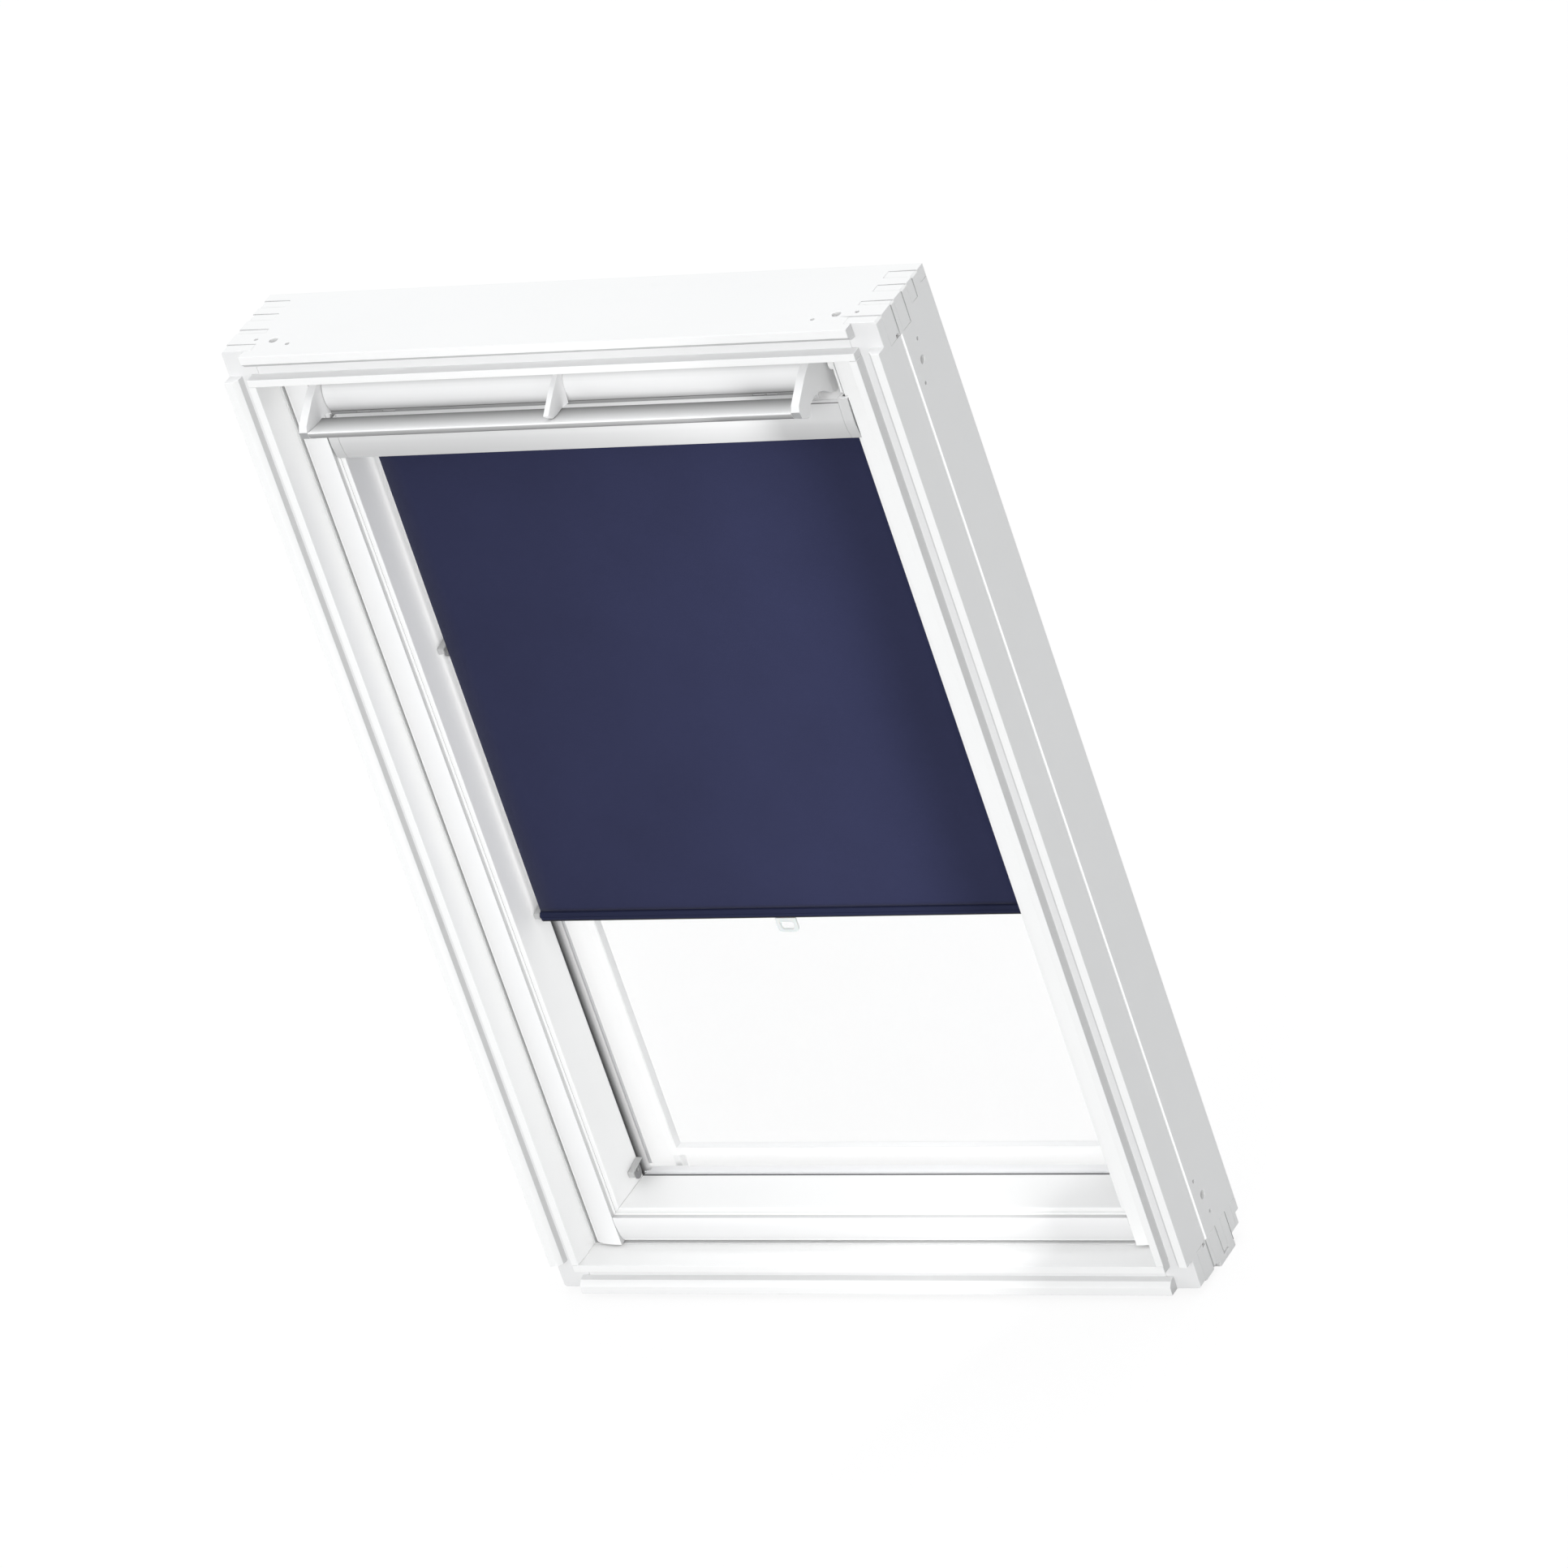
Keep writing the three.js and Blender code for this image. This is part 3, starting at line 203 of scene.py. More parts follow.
# %% Floor
bpy.ops.mesh.primitive_plane_add(size=160, location=(0, 0, 0))
floor = bpy.context.object
floor.name = "floor"
paper = bpy.data.materials.new("floor_paper")
paper.use_nodes = True
tree = paper.node_tree
tree.nodes.clear()
out = tree.nodes.new("ShaderNodeOutputMaterial")
matt = tree.nodes.new("ShaderNodeBsdfDiffuse")
matt.inputs["Color"].default_value = (0.55, 0.55, 0.55, 1)
glow = tree.nodes.new("ShaderNodeEmission")
glow.inputs["Color"].default_value = (1, 1, 1, 1)
glow.inputs["Strength"].default_value = 1.12
rays = tree.nodes.new("ShaderNodeLightPath")
camera_or_glass = tree.nodes.new("ShaderNodeMath")
camera_or_glass.operation = "MAXIMUM"
share = tree.nodes.new("ShaderNodeMath")
share.operation = "MULTIPLY"
share.inputs[1].default_value = 0.8
chosen = tree.nodes.new("ShaderNodeMixShader")
tree.links.new(rays.outputs["Is Camera Ray"], camera_or_glass.inputs[0])
tree.links.new(rays.outputs["Is Transmission Ray"], camera_or_glass.inputs[1])
tree.links.new(camera_or_glass.outputs[0], share.inputs[0])
tree.links.new(share.outputs[0], chosen.inputs[0])
tree.links.new(matt.outputs[0], chosen.inputs[1])
tree.links.new(glow.outputs[0], chosen.inputs[2])
tree.links.new(chosen.outputs[0], out.inputs["Surface"])
floor.data.materials.append(paper)
print("floor", tuple(floor.dimensions))

# %% [markdown]
# ## Finishes
#
# Every finish starts from one plain recipe: a base colour that wanders a little in large soft patches, a
# roughness, and a fine relief. `finish` builds it, and a few finishes add their own pattern: the brushing of
# aluminium, the weave of the cloth.


# %% A recipe for plain finishes
def finish(name, colour, roughness, metal=0.0, patches=4.0, wander=0.03, grain=(900, 900, 900), relief=0.02):
    surface = bpy.data.materials.new(name)
    surface.use_nodes = True
    tree = surface.node_tree
    shader = tree.nodes["Principled BSDF"]
    shader.inputs["Roughness"].default_value = roughness
    shader.inputs["Metallic"].default_value = metal
    where = tree.nodes.new("ShaderNodeTexCoord")
    cloud = tree.nodes.new("ShaderNodeTexNoise")
    cloud.inputs["Scale"].default_value = patches
    cloud.inputs["Detail"].default_value = 3
    tone = tree.nodes.new("ShaderNodeValToRGB")
    darker = [c * (1 - wander) for c in colour]
    lighter = [min(1, c * (1 + wander)) for c in colour]
    tone.color_ramp.elements[0].position = 0.3
    tone.color_ramp.elements[0].color = (*darker, 1)
    tone.color_ramp.elements[1].position = 0.7
    tone.color_ramp.elements[1].color = (*lighter, 1)
    stretch = tree.nodes.new("ShaderNodeMapping")
    stretch.inputs["Scale"].default_value = grain
    fine = tree.nodes.new("ShaderNodeTexNoise")
    fine.inputs["Scale"].default_value = 1
    fine.inputs["Detail"].default_value = 4
    bump = tree.nodes.new("ShaderNodeBump")
    bump.inputs["Strength"].default_value = relief
    bump.inputs["Distance"].default_value = 0.001
    tree.links.new(where.outputs["Object"], cloud.inputs["Vector"])
    tree.links.new(cloud.outputs["Fac"], tone.inputs["Fac"])
    tree.links.new(tone.outputs["Color"], shader.inputs["Base Color"])
    tree.links.new(where.outputs["Object"], stretch.inputs["Vector"])
    tree.links.new(stretch.outputs["Vector"], fine.inputs["Vector"])
    tree.links.new(fine.outputs["Fac"], bump.inputs["Height"])
    tree.links.new(bump.outputs["Normal"], shader.inputs["Normal"])
    return surface


def toned(name, axis, stops, roughness, metal=0.0):
    """A finish whose tone changes along one axis: stops are pairs of a place in mm and a grey."""
    surface = finish(name, (0.5, 0.5, 0.5), roughness, metal, relief=0.005)
    tree = surface.node_tree
    where = next(node for node in tree.nodes if node.type == "TEX_COORD")
    split = tree.nodes.new("ShaderNodeSeparateXYZ")
    reach = tree.nodes.new("ShaderNodeMapRange")
    ramp = tree.nodes.new("ShaderNodeValToRGB")
    corner = "XYZ".index(axis)
    first, last = stops[0][0], stops[-1][0]
    reach.inputs["From Min"].default_value = (first - CORNER[corner]) / 1000
    reach.inputs["From Max"].default_value = (last - CORNER[corner]) / 1000
    for at, grey in stops[1:-1]:
        ramp.color_ramp.elements.new((at - first) / (last - first)).color = (grey, grey, grey, 1)
    ramp.color_ramp.elements[0].color = (stops[0][1],) * 3 + (1,)
    ramp.color_ramp.elements[-1].color = (stops[-1][1],) * 3 + (1,)
    tree.links.new(where.outputs["Object"], split.inputs[0])
    tree.links.new(split.outputs[axis], reach.inputs["Value"])
    tree.links.new(reach.outputs["Result"], ramp.inputs["Fac"])
    tree.links.new(ramp.outputs["Color"], tree.nodes["Principled BSDF"].inputs["Base Color"])
    return surface


def shader_of(surface):
    return surface.node_tree.nodes["Principled BSDF"]


# %% Finishes of the window and the blind
finishes = {
    "white_wood": finish(
        "white_lacquer", (0.93, 0.93, 0.925), 0.42, wander=0.008, grain=(420, 420, 420), relief=0.012
    ),
    "pale_rubber": finish("pale_rubber", (0.8, 0.8, 0.8), 0.7, wander=0.02, relief=0.04),
    "plated_steel": finish("zinc_steel", (0.62, 0.62, 0.61), 0.34, 1.0, patches=60, wander=0.08, relief=0.03),
    "white_plastic": finish(
        "white_moulding", (0.9, 0.9, 0.895), 0.42, wander=0.015, grain=(1400, 1400, 1400)
    ),
    "pale_cladding": finish("pale_cladding", (0.92, 0.92, 0.92), 0.45, wander=0.02, relief=0.03),
    "grey_foam": finish("filter_foam", (0.12, 0.125, 0.13), 0.95, patches=300, wander=0.3, relief=0.6),
    "white_metal": finish("white_enamel", (0.83, 0.83, 0.83), 0.3, wander=0.012, grain=(700, 700, 700)),
    "satin_aluminium": finish(
        "satin_aluminium", (0.66, 0.665, 0.67), 0.36, 1.0, wander=0.02, grain=(6, 1800, 1800)
    ),
    "navy_metal": finish("navy_enamel", (0.014, 0.017, 0.045), 0.7, 0.0, wander=0.04),
    "pale_plastic": finish("pale_moulding", (0.74, 0.78, 0.77), 0.3, wander=0.02),
    "clear_glass": finish("clear_glass", (0.95, 0.98, 0.97), 0.02, wander=0.004, relief=0.0),
}
glass = shader_of(finishes["clear_glass"])
glass.inputs["Transmission Weight"].default_value = 1.0
glass.inputs["Alpha"].default_value = 0.025
glass.inputs["IOR"].default_value = 1.5
tab_shader = shader_of(finishes["pale_plastic"])
tab_shader.inputs["Transmission Weight"].default_value = 0.25
tab_shader.inputs["Subsurface Weight"].default_value = 0.2
tab_shader.inputs["Subsurface Scale"].default_value = 0.002
shader_of(finishes["navy_metal"]).inputs["Specular IOR Level"].default_value = 0.12
brushed = shader_of(finishes["satin_aluminium"])
brushed.inputs["Anisotropic"].default_value = 0.4
print("plain finishes:", ", ".join(sorted(finishes)))

# %% [markdown]
# The blackout cloth is a close plain weave. Two sets of waves cross at right angles, and a fine noise makes
# the threads uneven. The pattern lies on the cloth's own map, which measures it in metres. The wave node draws
# 20 / (2 pi) bands to a metre for each unit of its scale, and each band stands for a thread.

# %% Woven finish
WEAVE_SCALE = 222.823492
THREADS = WEAVE_SCALE * 20 / (2 * math.pi)


def woven(name, colour):
    surface = finish(name, colour, 0.9, wander=0.06, patches=7, relief=0)
    tree = surface.node_tree
    shader = shader_of(surface)
    shader.inputs["Specular IOR Level"].default_value = 0.12
    shader.inputs["Sheen Weight"].default_value = 0.06
    shader.inputs["Sheen Roughness"].default_value = 0.5
    cloth_map = tree.nodes.new("ShaderNodeUVMap")
    cloth_map.uv_map = "cloth"
    threads_up = tree.nodes.new("ShaderNodeTexWave")
    threads_up.bands_direction = "X"
    threads_up.inputs["Scale"].default_value = WEAVE_SCALE
    threads_across = tree.nodes.new("ShaderNodeTexWave")
    threads_across.bands_direction = "Y"
    threads_across.inputs["Scale"].default_value = WEAVE_SCALE
    slub = tree.nodes.new("ShaderNodeTexNoise")
    slub.inputs["Scale"].default_value = 160
    slub.inputs["Detail"].default_value = 5
    crossing = tree.nodes.new("ShaderNodeMath")
    crossing.operation = "MULTIPLY"
    height = tree.nodes.new("ShaderNodeMath")
    height.operation = "ADD"
    relief = tree.nodes.new("ShaderNodeBump")
    relief.inputs["Strength"].default_value = 0.25
    relief.inputs["Distance"].default_value = 0.0003
    for thread in (threads_up, threads_across, slub):
        tree.links.new(cloth_map.outputs["UV"], thread.inputs["Vector"])
    tree.links.new(threads_up.outputs["Fac"], crossing.inputs[0])
    tree.links.new(threads_across.outputs["Fac"], crossing.inputs[1])
    tree.links.new(crossing.outputs[0], height.inputs[0])
    tree.links.new(slub.outputs["Fac"], height.inputs[1])
    tree.links.new(height.outputs[0], relief.inputs["Height"])
    tree.links.new(relief.outputs["Normal"], shader.inputs["Normal"])
    return surface


finishes["navy_fabric"] = woven("navy_cloth", (0.022, 0.025, 0.064))
print("finishes:", ", ".join(sorted(finishes)))
print("threads to a metre:", round(THREADS))

# %% [markdown]
# ## Dressing the solids
#
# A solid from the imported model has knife-sharp edges, which nothing made by a person has. Each rigid
# piece that shows is copied, its loose triangles are merged into whole faces, and a narrow bevel rounds
# every edge so that it catches the light. The solid itself stays for motion and touch.

# %% Finish every solid
node_slot = {part["node"]: part["material_slot"] for part in frame["record"]["subparts"]}
node_body = {name: solid["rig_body"] for name, solid in nodes.items()}
for name, solid in nodes.items():
    solid.data.materials.clear()
    solid.data.materials.append(finishes[node_slot[name]])
print("finished solids:", len(node_slot))


# %% Softened copies
def merge(thing, limit=0.5):
    pick(thing)
    bpy.ops.object.mode_set(mode="EDIT")
    bpy.ops.mesh.select_all(action="SELECT")
    bpy.ops.mesh.remove_doubles(threshold=0.00001)
    bpy.ops.mesh.dissolve_limited(angle_limit=math.radians(limit))
    bpy.ops.object.mode_set(mode="OBJECT")


def flat_faces(thing):
    pick(thing)
    bpy.ops.object.shade_smooth_by_angle(angle=math.radians(32))
    even = thing.modifiers.new("flat_faces", "WEIGHTED_NORMAL")
    even.keep_sharp = True
    even.weight = 80
    bpy.ops.object.modifier_apply(modifier=even.name)


def round_edges(thing, width, angle=25, segments=2, weighted=False, paint=-1):
    pick(thing)
    edge = thing.modifiers.new("edges", "BEVEL")
    edge.width = width / 1000
    edge.segments = segments
    edge.limit_method = "WEIGHT" if weighted else "ANGLE"
    edge.angle_limit = math.radians(angle)
    edge.use_clamp_overlap = not weighted
    edge.material = paint
    bpy.ops.object.modifier_apply(modifier=edge.name)
    flat_faces(thing)


def copy_solid(node, name):
    dressed = nodes[node].copy()
    dressed.data = nodes[node].data.copy()
    dressed.parent = None
    for key_name in list(dressed.keys()):
        del dressed[key_name]
    dressed.name = name
    dressed.data.name = name
    scene.collection.objects.link(dressed)
    dressed.hide_render = False
    dressed.hide_viewport = False
    merge(dressed)
    return dressed


def tint(thing, look, wanted):
    """Faces for which wanted(place in mm, normal) is true get another finish."""
    thing.data.materials.append(look)
    for face in thing.data.polygons:
        if wanted(face.center * 1000 + CORNER, face.normal):
            face.material_index = len(thing.data.materials) - 1


def settle(thing, body, slot_name, *replaced):
    if not thing.data.materials:
        thing.data.materials.append(finishes[slot_name])
    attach(thing, body)
    if replaced:
        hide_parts(*replaced)
    return thing


def weigh_edges(thing, usual, special):
    """Sharp edges get the usual weight, and those inside one of the special boxes get that box's weight."""
    corners = [corner.co * 1000 + CORNER for corner in thing.data.vertices]
    sides, painted = {}, set()
    for face in thing.data.polygons:
        for key_pair in face.edge_keys:
            sides.setdefault(key_pair, []).append(face.normal)
            if face.material_index:
                painted.add(key_pair)
    weights = thing.data.attributes.get("bevel_weight_edge")
    if weights is None:
        weights = thing.data.attributes.new("bevel_weight_edge", "FLOAT", "EDGE")
    for edge in thing.data.edges:
        key_pair = tuple(sorted(edge.vertices))
        meeting = sides.get(key_pair, [])
        sharp = len(meeting) == 2 and meeting[0].angle(meeting[1], 0) > math.radians(25)
        weight = usual if sharp and key_pair not in painted else 0
        ends = [corners[index] for index in edge.vertices]
        for low, high, share in special:
            if sharp and all(low[i] - 0.05 <= end[i] <= high[i] + 0.05 for end in ends for i in range(3)):
                weight = share
        weights.data[edge.index].value = weight


def soften(node, width=0.35, segments=2):
    dressed = copy_solid(node, node + "_finished")
    round_edges(dressed, width, segments=segments)
    settle(dressed, node_body[node], node_slot[node], node)
    print(dressed.name, len(dressed.data.polygons), "faces")
    return dressed


# %% [markdown]
# ## The frame's box joints
#
# Head, sill and jambs meet in straight fingers. On the top and the bottom of the frame, the edge on the outer
# side of every jamb finger is opened to a small shaded groove, and the edge on its room side stays tight. On
# the left and the right it is the other way round. The outer corner of each jamb finger is chamfered.

# %% Finger limits
# Painted shade: the faces of the finger grooves are grey, for the shadow in the narrow slits.
joint_shade = finish("joint_shade", (0.6, 0.6, 0.6), 0.5, wander=0.01)
FINGERS = [(0, 26.3), (49, 56), (75, 87), (101, FRAME_DEPTH)]
JAMB, RAIL, NEAR, SKIN = 48, 40, 0.8, 0.5
grooves, tight = [], []
arrises = []
for low, high in FINGERS:
    for x in (0, FRAME_WIDTH):
        for z in (0, FRAME_HEIGHT):
            arrises.append(((x - SKIN, low - NEAR, z - SKIN), (x + SKIN, high + NEAR, z + SKIN), 1))
    for x0, x1 in ((0, JAMB), (FRAME_WIDTH - JAMB, FRAME_WIDTH)):
        for z0, z1 in ((FRAME_HEIGHT - SKIN, FRAME_HEIGHT), (0, SKIN)):
            tight.append(((x0, low - NEAR, z0), (x1, low + NEAR, z1), 0))
            grooves.append(((x0, high - NEAR, z0), (x1, high + NEAR, z1), 1))
    for x in (0, FRAME_WIDTH):
        for z0, z1 in ((FRAME_HEIGHT - RAIL, FRAME_HEIGHT), (0, RAIL)):
            tight.append(((x, high - NEAR, z0), (x, high + NEAR, z1), 0))
            grooves.append(((x, low - NEAR, z0), (x, low + NEAR, z1), 1))
print("finger joints:", len(FINGERS), "fingers at each corner,", len(grooves), "grooved edges")

# %% [markdown]
# ## Shades set against the photo
#
# The photo's soft studio light can't be rebuilt from lamps alone, so some faces get a grey of their own. These
# greys were chosen by comparing this view with the photo. They aren't colours of the real lacquer. Three
# finishes also glow faintly: the trims seen through the glass, the top of the head rail and one thin edge.

# %% Shades for single faces
# Painted shade: the side walls and one chamfer in the frame's lining grooves are a darker grey.
groove_wall_shade = finish("groove_wall_shade", (0.72, 0.72, 0.72), 0.5, wander=0.01)
# Painted shade: the floors of the lining grooves and the tops of their lips are a lighter grey.
groove_half_shade = finish("groove_half_shade", (0.85, 0.85, 0.85), 0.45, wander=0.01)
# Painted shade: the chamfer under the head's nose is a dark grey.
under_nose_shade = finish("under_nose_shade", (0.58, 0.58, 0.58), 0.5, wander=0.01)
# Painted shade: two greys on the faces of the sash bead and its step.
bead_shade = finish("bead_shade", (0.6, 0.6, 0.6), 0.5, wander=0.01)
bead_side_shade = finish("bead_side_shade", (0.34, 0.34, 0.34), 0.5, wander=0.01)


def lit_finish(name, grey, glow):
    """A finish with a faint glow, for faces that the lamps leave darker than the photo shows them."""
    surface = finish(name, (grey, grey, grey), 0.5, wander=0.01)
    shader_of(surface).inputs["Emission Color"].default_value = (1, 1, 1, 1)
    shader_of(surface).inputs["Emission Strength"].default_value = glow
    return surface


GROOVE_START, GROOVE_END = 0.6, 13.05
BEAD_START, BEAD_END, BEAD_HALF = 35.2, 41.2, 315.5
ARRIS_X, ARRIS_START, ARRIS_END = 778.05, 51.7, 52.3


def in_groove(at, facing):
    slanted = facing.y < -0.6 and facing.x < -0.6
    return GROOVE_START < at.y < GROOVE_END and (facing.x > 0.9 or slanted)


def in_groove_half_shade(at, facing):
    floor_of_groove = GROOVE_END < at.y < GROOVE_END + 0.35 and facing.y < -0.9
    return (GROOVE_START < at.y < GROOVE_END and facing.z > 0.9) or floor_of_groove


def below_nose(at, facing):
    return GROOVE_START < at.y < GROOVE_END and facing.y < -0.6 and facing.z < -0.6


def on_arris(at, facing):
    return at.x > ARRIS_X and ARRIS_START < at.y < ARRIS_END


def on_sash_front(at, facing):
    return facing.y < -0.85 and at.y < 41 and min(at.x, at.z) < 75


def bead_level(at, facing):
    return BEAD_START < at.y < BEAD_END and abs(facing.z) > 0.8


def bead_upright(at, facing):
    return BEAD_START < at.y < BEAD_END and abs(facing.x) > 0.8


def bead_step(at, facing):
    return abs(facing.x) > 0.9 and abs(abs(at.x - MIDDLE_X) - BEAD_HALF) < 0.1


for member in ("frame_head", "frame_sill", "frame_jamb_left", "frame_jamb_right"):
    dressed = copy_solid(member, member + "_finished")
    dressed.data.materials.append(joint_shade)
    if "jamb" in member:
        weigh_edges(dressed, 0, arrises)
        round_edges(dressed, 2.4, segments=1, weighted=True)
    weigh_edges(dressed, 0, grooves)
    round_edges(dressed, 1.0, segments=1, weighted=True, paint=1)
    weigh_edges(dressed, 1, tight)
    round_edges(dressed, 0.35, weighted=True)
    settle(dressed, node_body[member], node_slot[member], member)
    tint(dressed, groove_wall_shade, in_groove)
    tint(dressed, groove_half_shade, in_groove_half_shade)
    tint(dressed, under_nose_shade, below_nose)
    if member == "frame_jamb_right":
        # Painted highlight: one thin edge on the right jamb's side glows faintly.
        tint(dressed, lit_finish("arris_painted_highlight", 0.93, 0.28), on_arris)
    print(dressed.name, len(dressed.data.polygons), "faces")
# Painted shade: the fronts of the left stile and the bottom rail darken towards the frame.
sash_front_shade_tones = {
    "sash_stile_left": toned("stile_front_shade", "X", [(44, 0.79), (60, 0.87), (74.6, 0.93)], 0.42),
    "sash_rail_bottom": toned("rail_front_shade", "Z", [(38, 0.7), (50, 0.78), (64, 0.84), (75, 0.92)], 0.42),
}
for member in ("sash_stile_left", "sash_stile_right", "sash_rail_bottom", "sash_rail_top"):
    dressed = soften(member, 0.3)
    if member in sash_front_shade_tones:
        tint(dressed, sash_front_shade_tones[member], on_sash_front)
    tint(dressed, bead_shade, bead_level)
    tint(dressed, bead_side_shade, bead_upright)
    tint(dressed, bead_shade, bead_step)
# The head rail's lacquer is painted with shade that darkens towards its bottom.
rail_shade_tones = [(1032, 0.54), (1040, 0.56), (1051, 0.62), (1056, 0.68), (1080, 0.7)]
rail_lacquer_and_shade = toned("rail_lacquer_and_shade", "Z", rail_shade_tones, 0.4)
# Painted light: the top of the head rail glows faintly.
rail_top = lit_finish("rail_top", 0.83, 0.24)
# Painted shade: the ledge inside the head rail's groove is dark grey.
rail_ledge_shade = finish("rail_ledge_shade", (0.2, 0.2, 0.2), 0.6, wander=0.01)
bracket_lacquer = finish("bracket_lacquer", (0.86, 0.86, 0.86), 0.4, wander=0.01)
# Painted light: the trims seen through the glass glow faintly.
glazing_painted_light = lit_finish("glazing_painted_light", 0.3, 0.68)


def inner_side(at, facing):
    toward_opening = (facing.x > 0.9 and at.x < MIDDLE_X) or (facing.z > 0.9 and at.z < MIDDLE_Z)
    return facing.y < -0.9 or toward_opening


for trim in ("frame_seal", "glazing_gasket"):
    dressed = soften(trim, 0.25)
    if trim == "glazing_gasket":
        # Painted light on the gasket's inner faces.
        tint(dressed, glazing_painted_light, inner_side)
for trim in ("rail_cap_left", "rail_cap_right", "head_rail"):
    lacquered = soften(trim, 0.25)
    lacquered.data.materials[0] = rail_lacquer_and_shade
    tint(lacquered, rail_top, lambda at, facing: facing.z > 0.9 and at.z > 1078)
    tint(lacquered, rail_ledge_shade, lambda at, facing: 1074.8 < at.z < 1077.5 and facing.z > 0.3)
for trim in ("flap_bracket_left", "flap_bracket_right", "flap_bracket_middle"):
    lacquered = soften(trim, 0.5)
    lacquered.data.materials[0] = bracket_lacquer
    tint(lacquered, finishes["satin_aluminium"], lambda at, facing: facing.y < -0.6 and at.z < 1105)
for trim in ("lock_case", "vent_filter"):
    soften(trim, 0.5)
for sheet_metal in ("frame_cover_left", "frame_cover_right", "frame_cover_top"):
    soften(sheet_metal, 0.5)
for sheet_metal in ("sash_cover_left", "sash_cover_right", "sash_cover_top", "sash_cover_bottom"):
    dressed = soften(sheet_metal, 0.5)
    # Painted light on the insides of the covers seen through the glass.
    tint(dressed, glazing_painted_light, lambda at, facing: facing.y < -0.9 and at.y > 141)
for fitting in ("flap_bearing_left", "flap_bearing_right", "barrel_bolt", "bolt_bush", "latch_bolt"):
    soften(fitting, 0.3)

# %% [markdown]
# ## Fixing holes
#
# The outer frame is screwed to the roof through brackets, so its jambs have drilled holes: a large one for the
# bracket's bolt with a small pilot hole on either side. The head has four small ones. A hole is a round bar
# taken away from the wood. All the bars of one member are joined first and taken away together.


# %% Drilling
def round_bar(name, centre, radius, length, axis, sides=24):
    deselect()
    turn = {"x": (0, math.pi / 2, 0), "y": (math.pi / 2, 0, 0), "z": (0, 0, 0)}[axis]
    bpy.ops.mesh.primitive_cylinder_add(
        vertices=sides, radius=radius / 1000, depth=length / 1000, location=place(*centre), rotation=turn
    )
    bar = bpy.context.object
    bar.name = name
    bpy.ops.object.transform_apply(location=True, rotation=True, scale=True)
    return bar


def join_all(things, name):
    deselect()
    for thing in things:
        thing.select_set(True)
    bpy.context.view_layer.objects.active = things[0]
    bpy.ops.object.join()
    things[0].name = name
    return things[0]


def take_away(thing, tool):
    pick(thing)
    saw = thing.modifiers.new("cut", "BOOLEAN")
    saw.operation = "DIFFERENCE"
    saw.solver = "EXACT"
    saw.object = tool
    bpy.ops.object.modifier_apply(modifier=saw.name)
    bpy.data.objects.remove(tool)


def drill(thing, holes, depth, axis):
    bars = [round_bar("drill", centre, radius, 2 * depth, axis) for centre, radius in holes]
    take_away(thing, join_all(bars, "drills"))
    flat_faces(thing)


HOLE_DEPTH, HEAD_HOLE = 9, 2.5
head_places = ((31.8, 35.7), (748.2, 35.7), (76, 24.3), (702, 24.3))
head_holes = [((x, y, FRAME_HEIGHT), HEAD_HOLE) for x, y in head_places]
drill(bpy.data.objects["frame_head_finished"], head_holes, HOLE_DEPTH, "z")
BOLT, PILOT = 5, 2.2
side_holes = [(76.4, 1122.6, PILOT), (73.1, 1100, BOLT), (64.9, 1077.4, PILOT)]
side_holes += [(63.1, 101.3, PILOT), (71.5, 78.7, BOLT), (75.1, 55.8, PILOT)]
for member, face in (("frame_jamb_left_finished", 0), ("frame_jamb_right_finished", FRAME_WIDTH)):
    drill(bpy.data.objects[member], [((face, y, z), radius) for y, z, radius in side_holes], HOLE_DEPTH, "x")
print("holes in each jamb:", len(side_holes))

# %% [markdown]
# ## Shapes with one section
#
# A bar, a rail or a bent strip has the same section all along. Its outline is drawn by moving the corners
# of a flat disc, and the disc is then pulled along one axis, as a profile leaves its die.


# %% Pulling an outline
def pull_outline(name, points, axis, start, end):
    deselect()
    bpy.ops.mesh.primitive_circle_add(vertices=len(points), radius=1, fill_type="NGON")
    thing = bpy.context.object
    thing.name = name
    for corner, (first, second) in zip(thing.data.vertices, points):
        spot = {"x": (start, first, second), "y": (first, start, second), "z": (first, second, start)}[axis]
        corner.co = place(*spot)
    step = {"x": (end - start, 0, 0), "y": (0, end - start, 0), "z": (0, 0, end - start)}[axis]
    bpy.ops.object.mode_set(mode="EDIT")
    bpy.ops.mesh.select_all(action="SELECT")
    bpy.ops.mesh.extrude_region_move(TRANSFORM_OT_translate={"value": size(*step)})
    bpy.ops.mesh.select_all(action="SELECT")
    bpy.ops.mesh.normals_make_consistent(inside=False)
    bpy.ops.object.mode_set(mode="OBJECT")
    return thing


def arc(centre, radius, first, last, steps):
    angles = [math.radians(first + (last - first) * step / steps) for step in range(steps + 1)]
    return [(centre[0] + radius * math.cos(a), centre[1] + radius * math.sin(a)) for a in angles]


def smooth_path(points, steps):
    ends = [points[0], *points, points[-1]]
    path = []
    for before, here, there, after in zip(ends, ends[1:], ends[2:], ends[3:]):
        for step in range(steps):
            t = step / steps
            spot = []
            for b, h, n, a in zip(before, here, there, after):
                bend = (2 * b - 5 * h + 4 * n - a) * t * t
                twist = (3 * h - b - 3 * n + a) * t ** 3
                spot.append(0.5 * (2 * h + (n - b) * t + bend + twist))
            path.append(tuple(spot))
    return [*path, points[-1]]


# %% [markdown]
# ## The control bar
#
# The bar that a hand pulls is drawn aluminium: its upper face is slightly dished, a crisp crease runs along
# its front, and below the crease it turns under. The light and dark streaks along it are a painted reflection
# and painted shade, given as tones across its section.

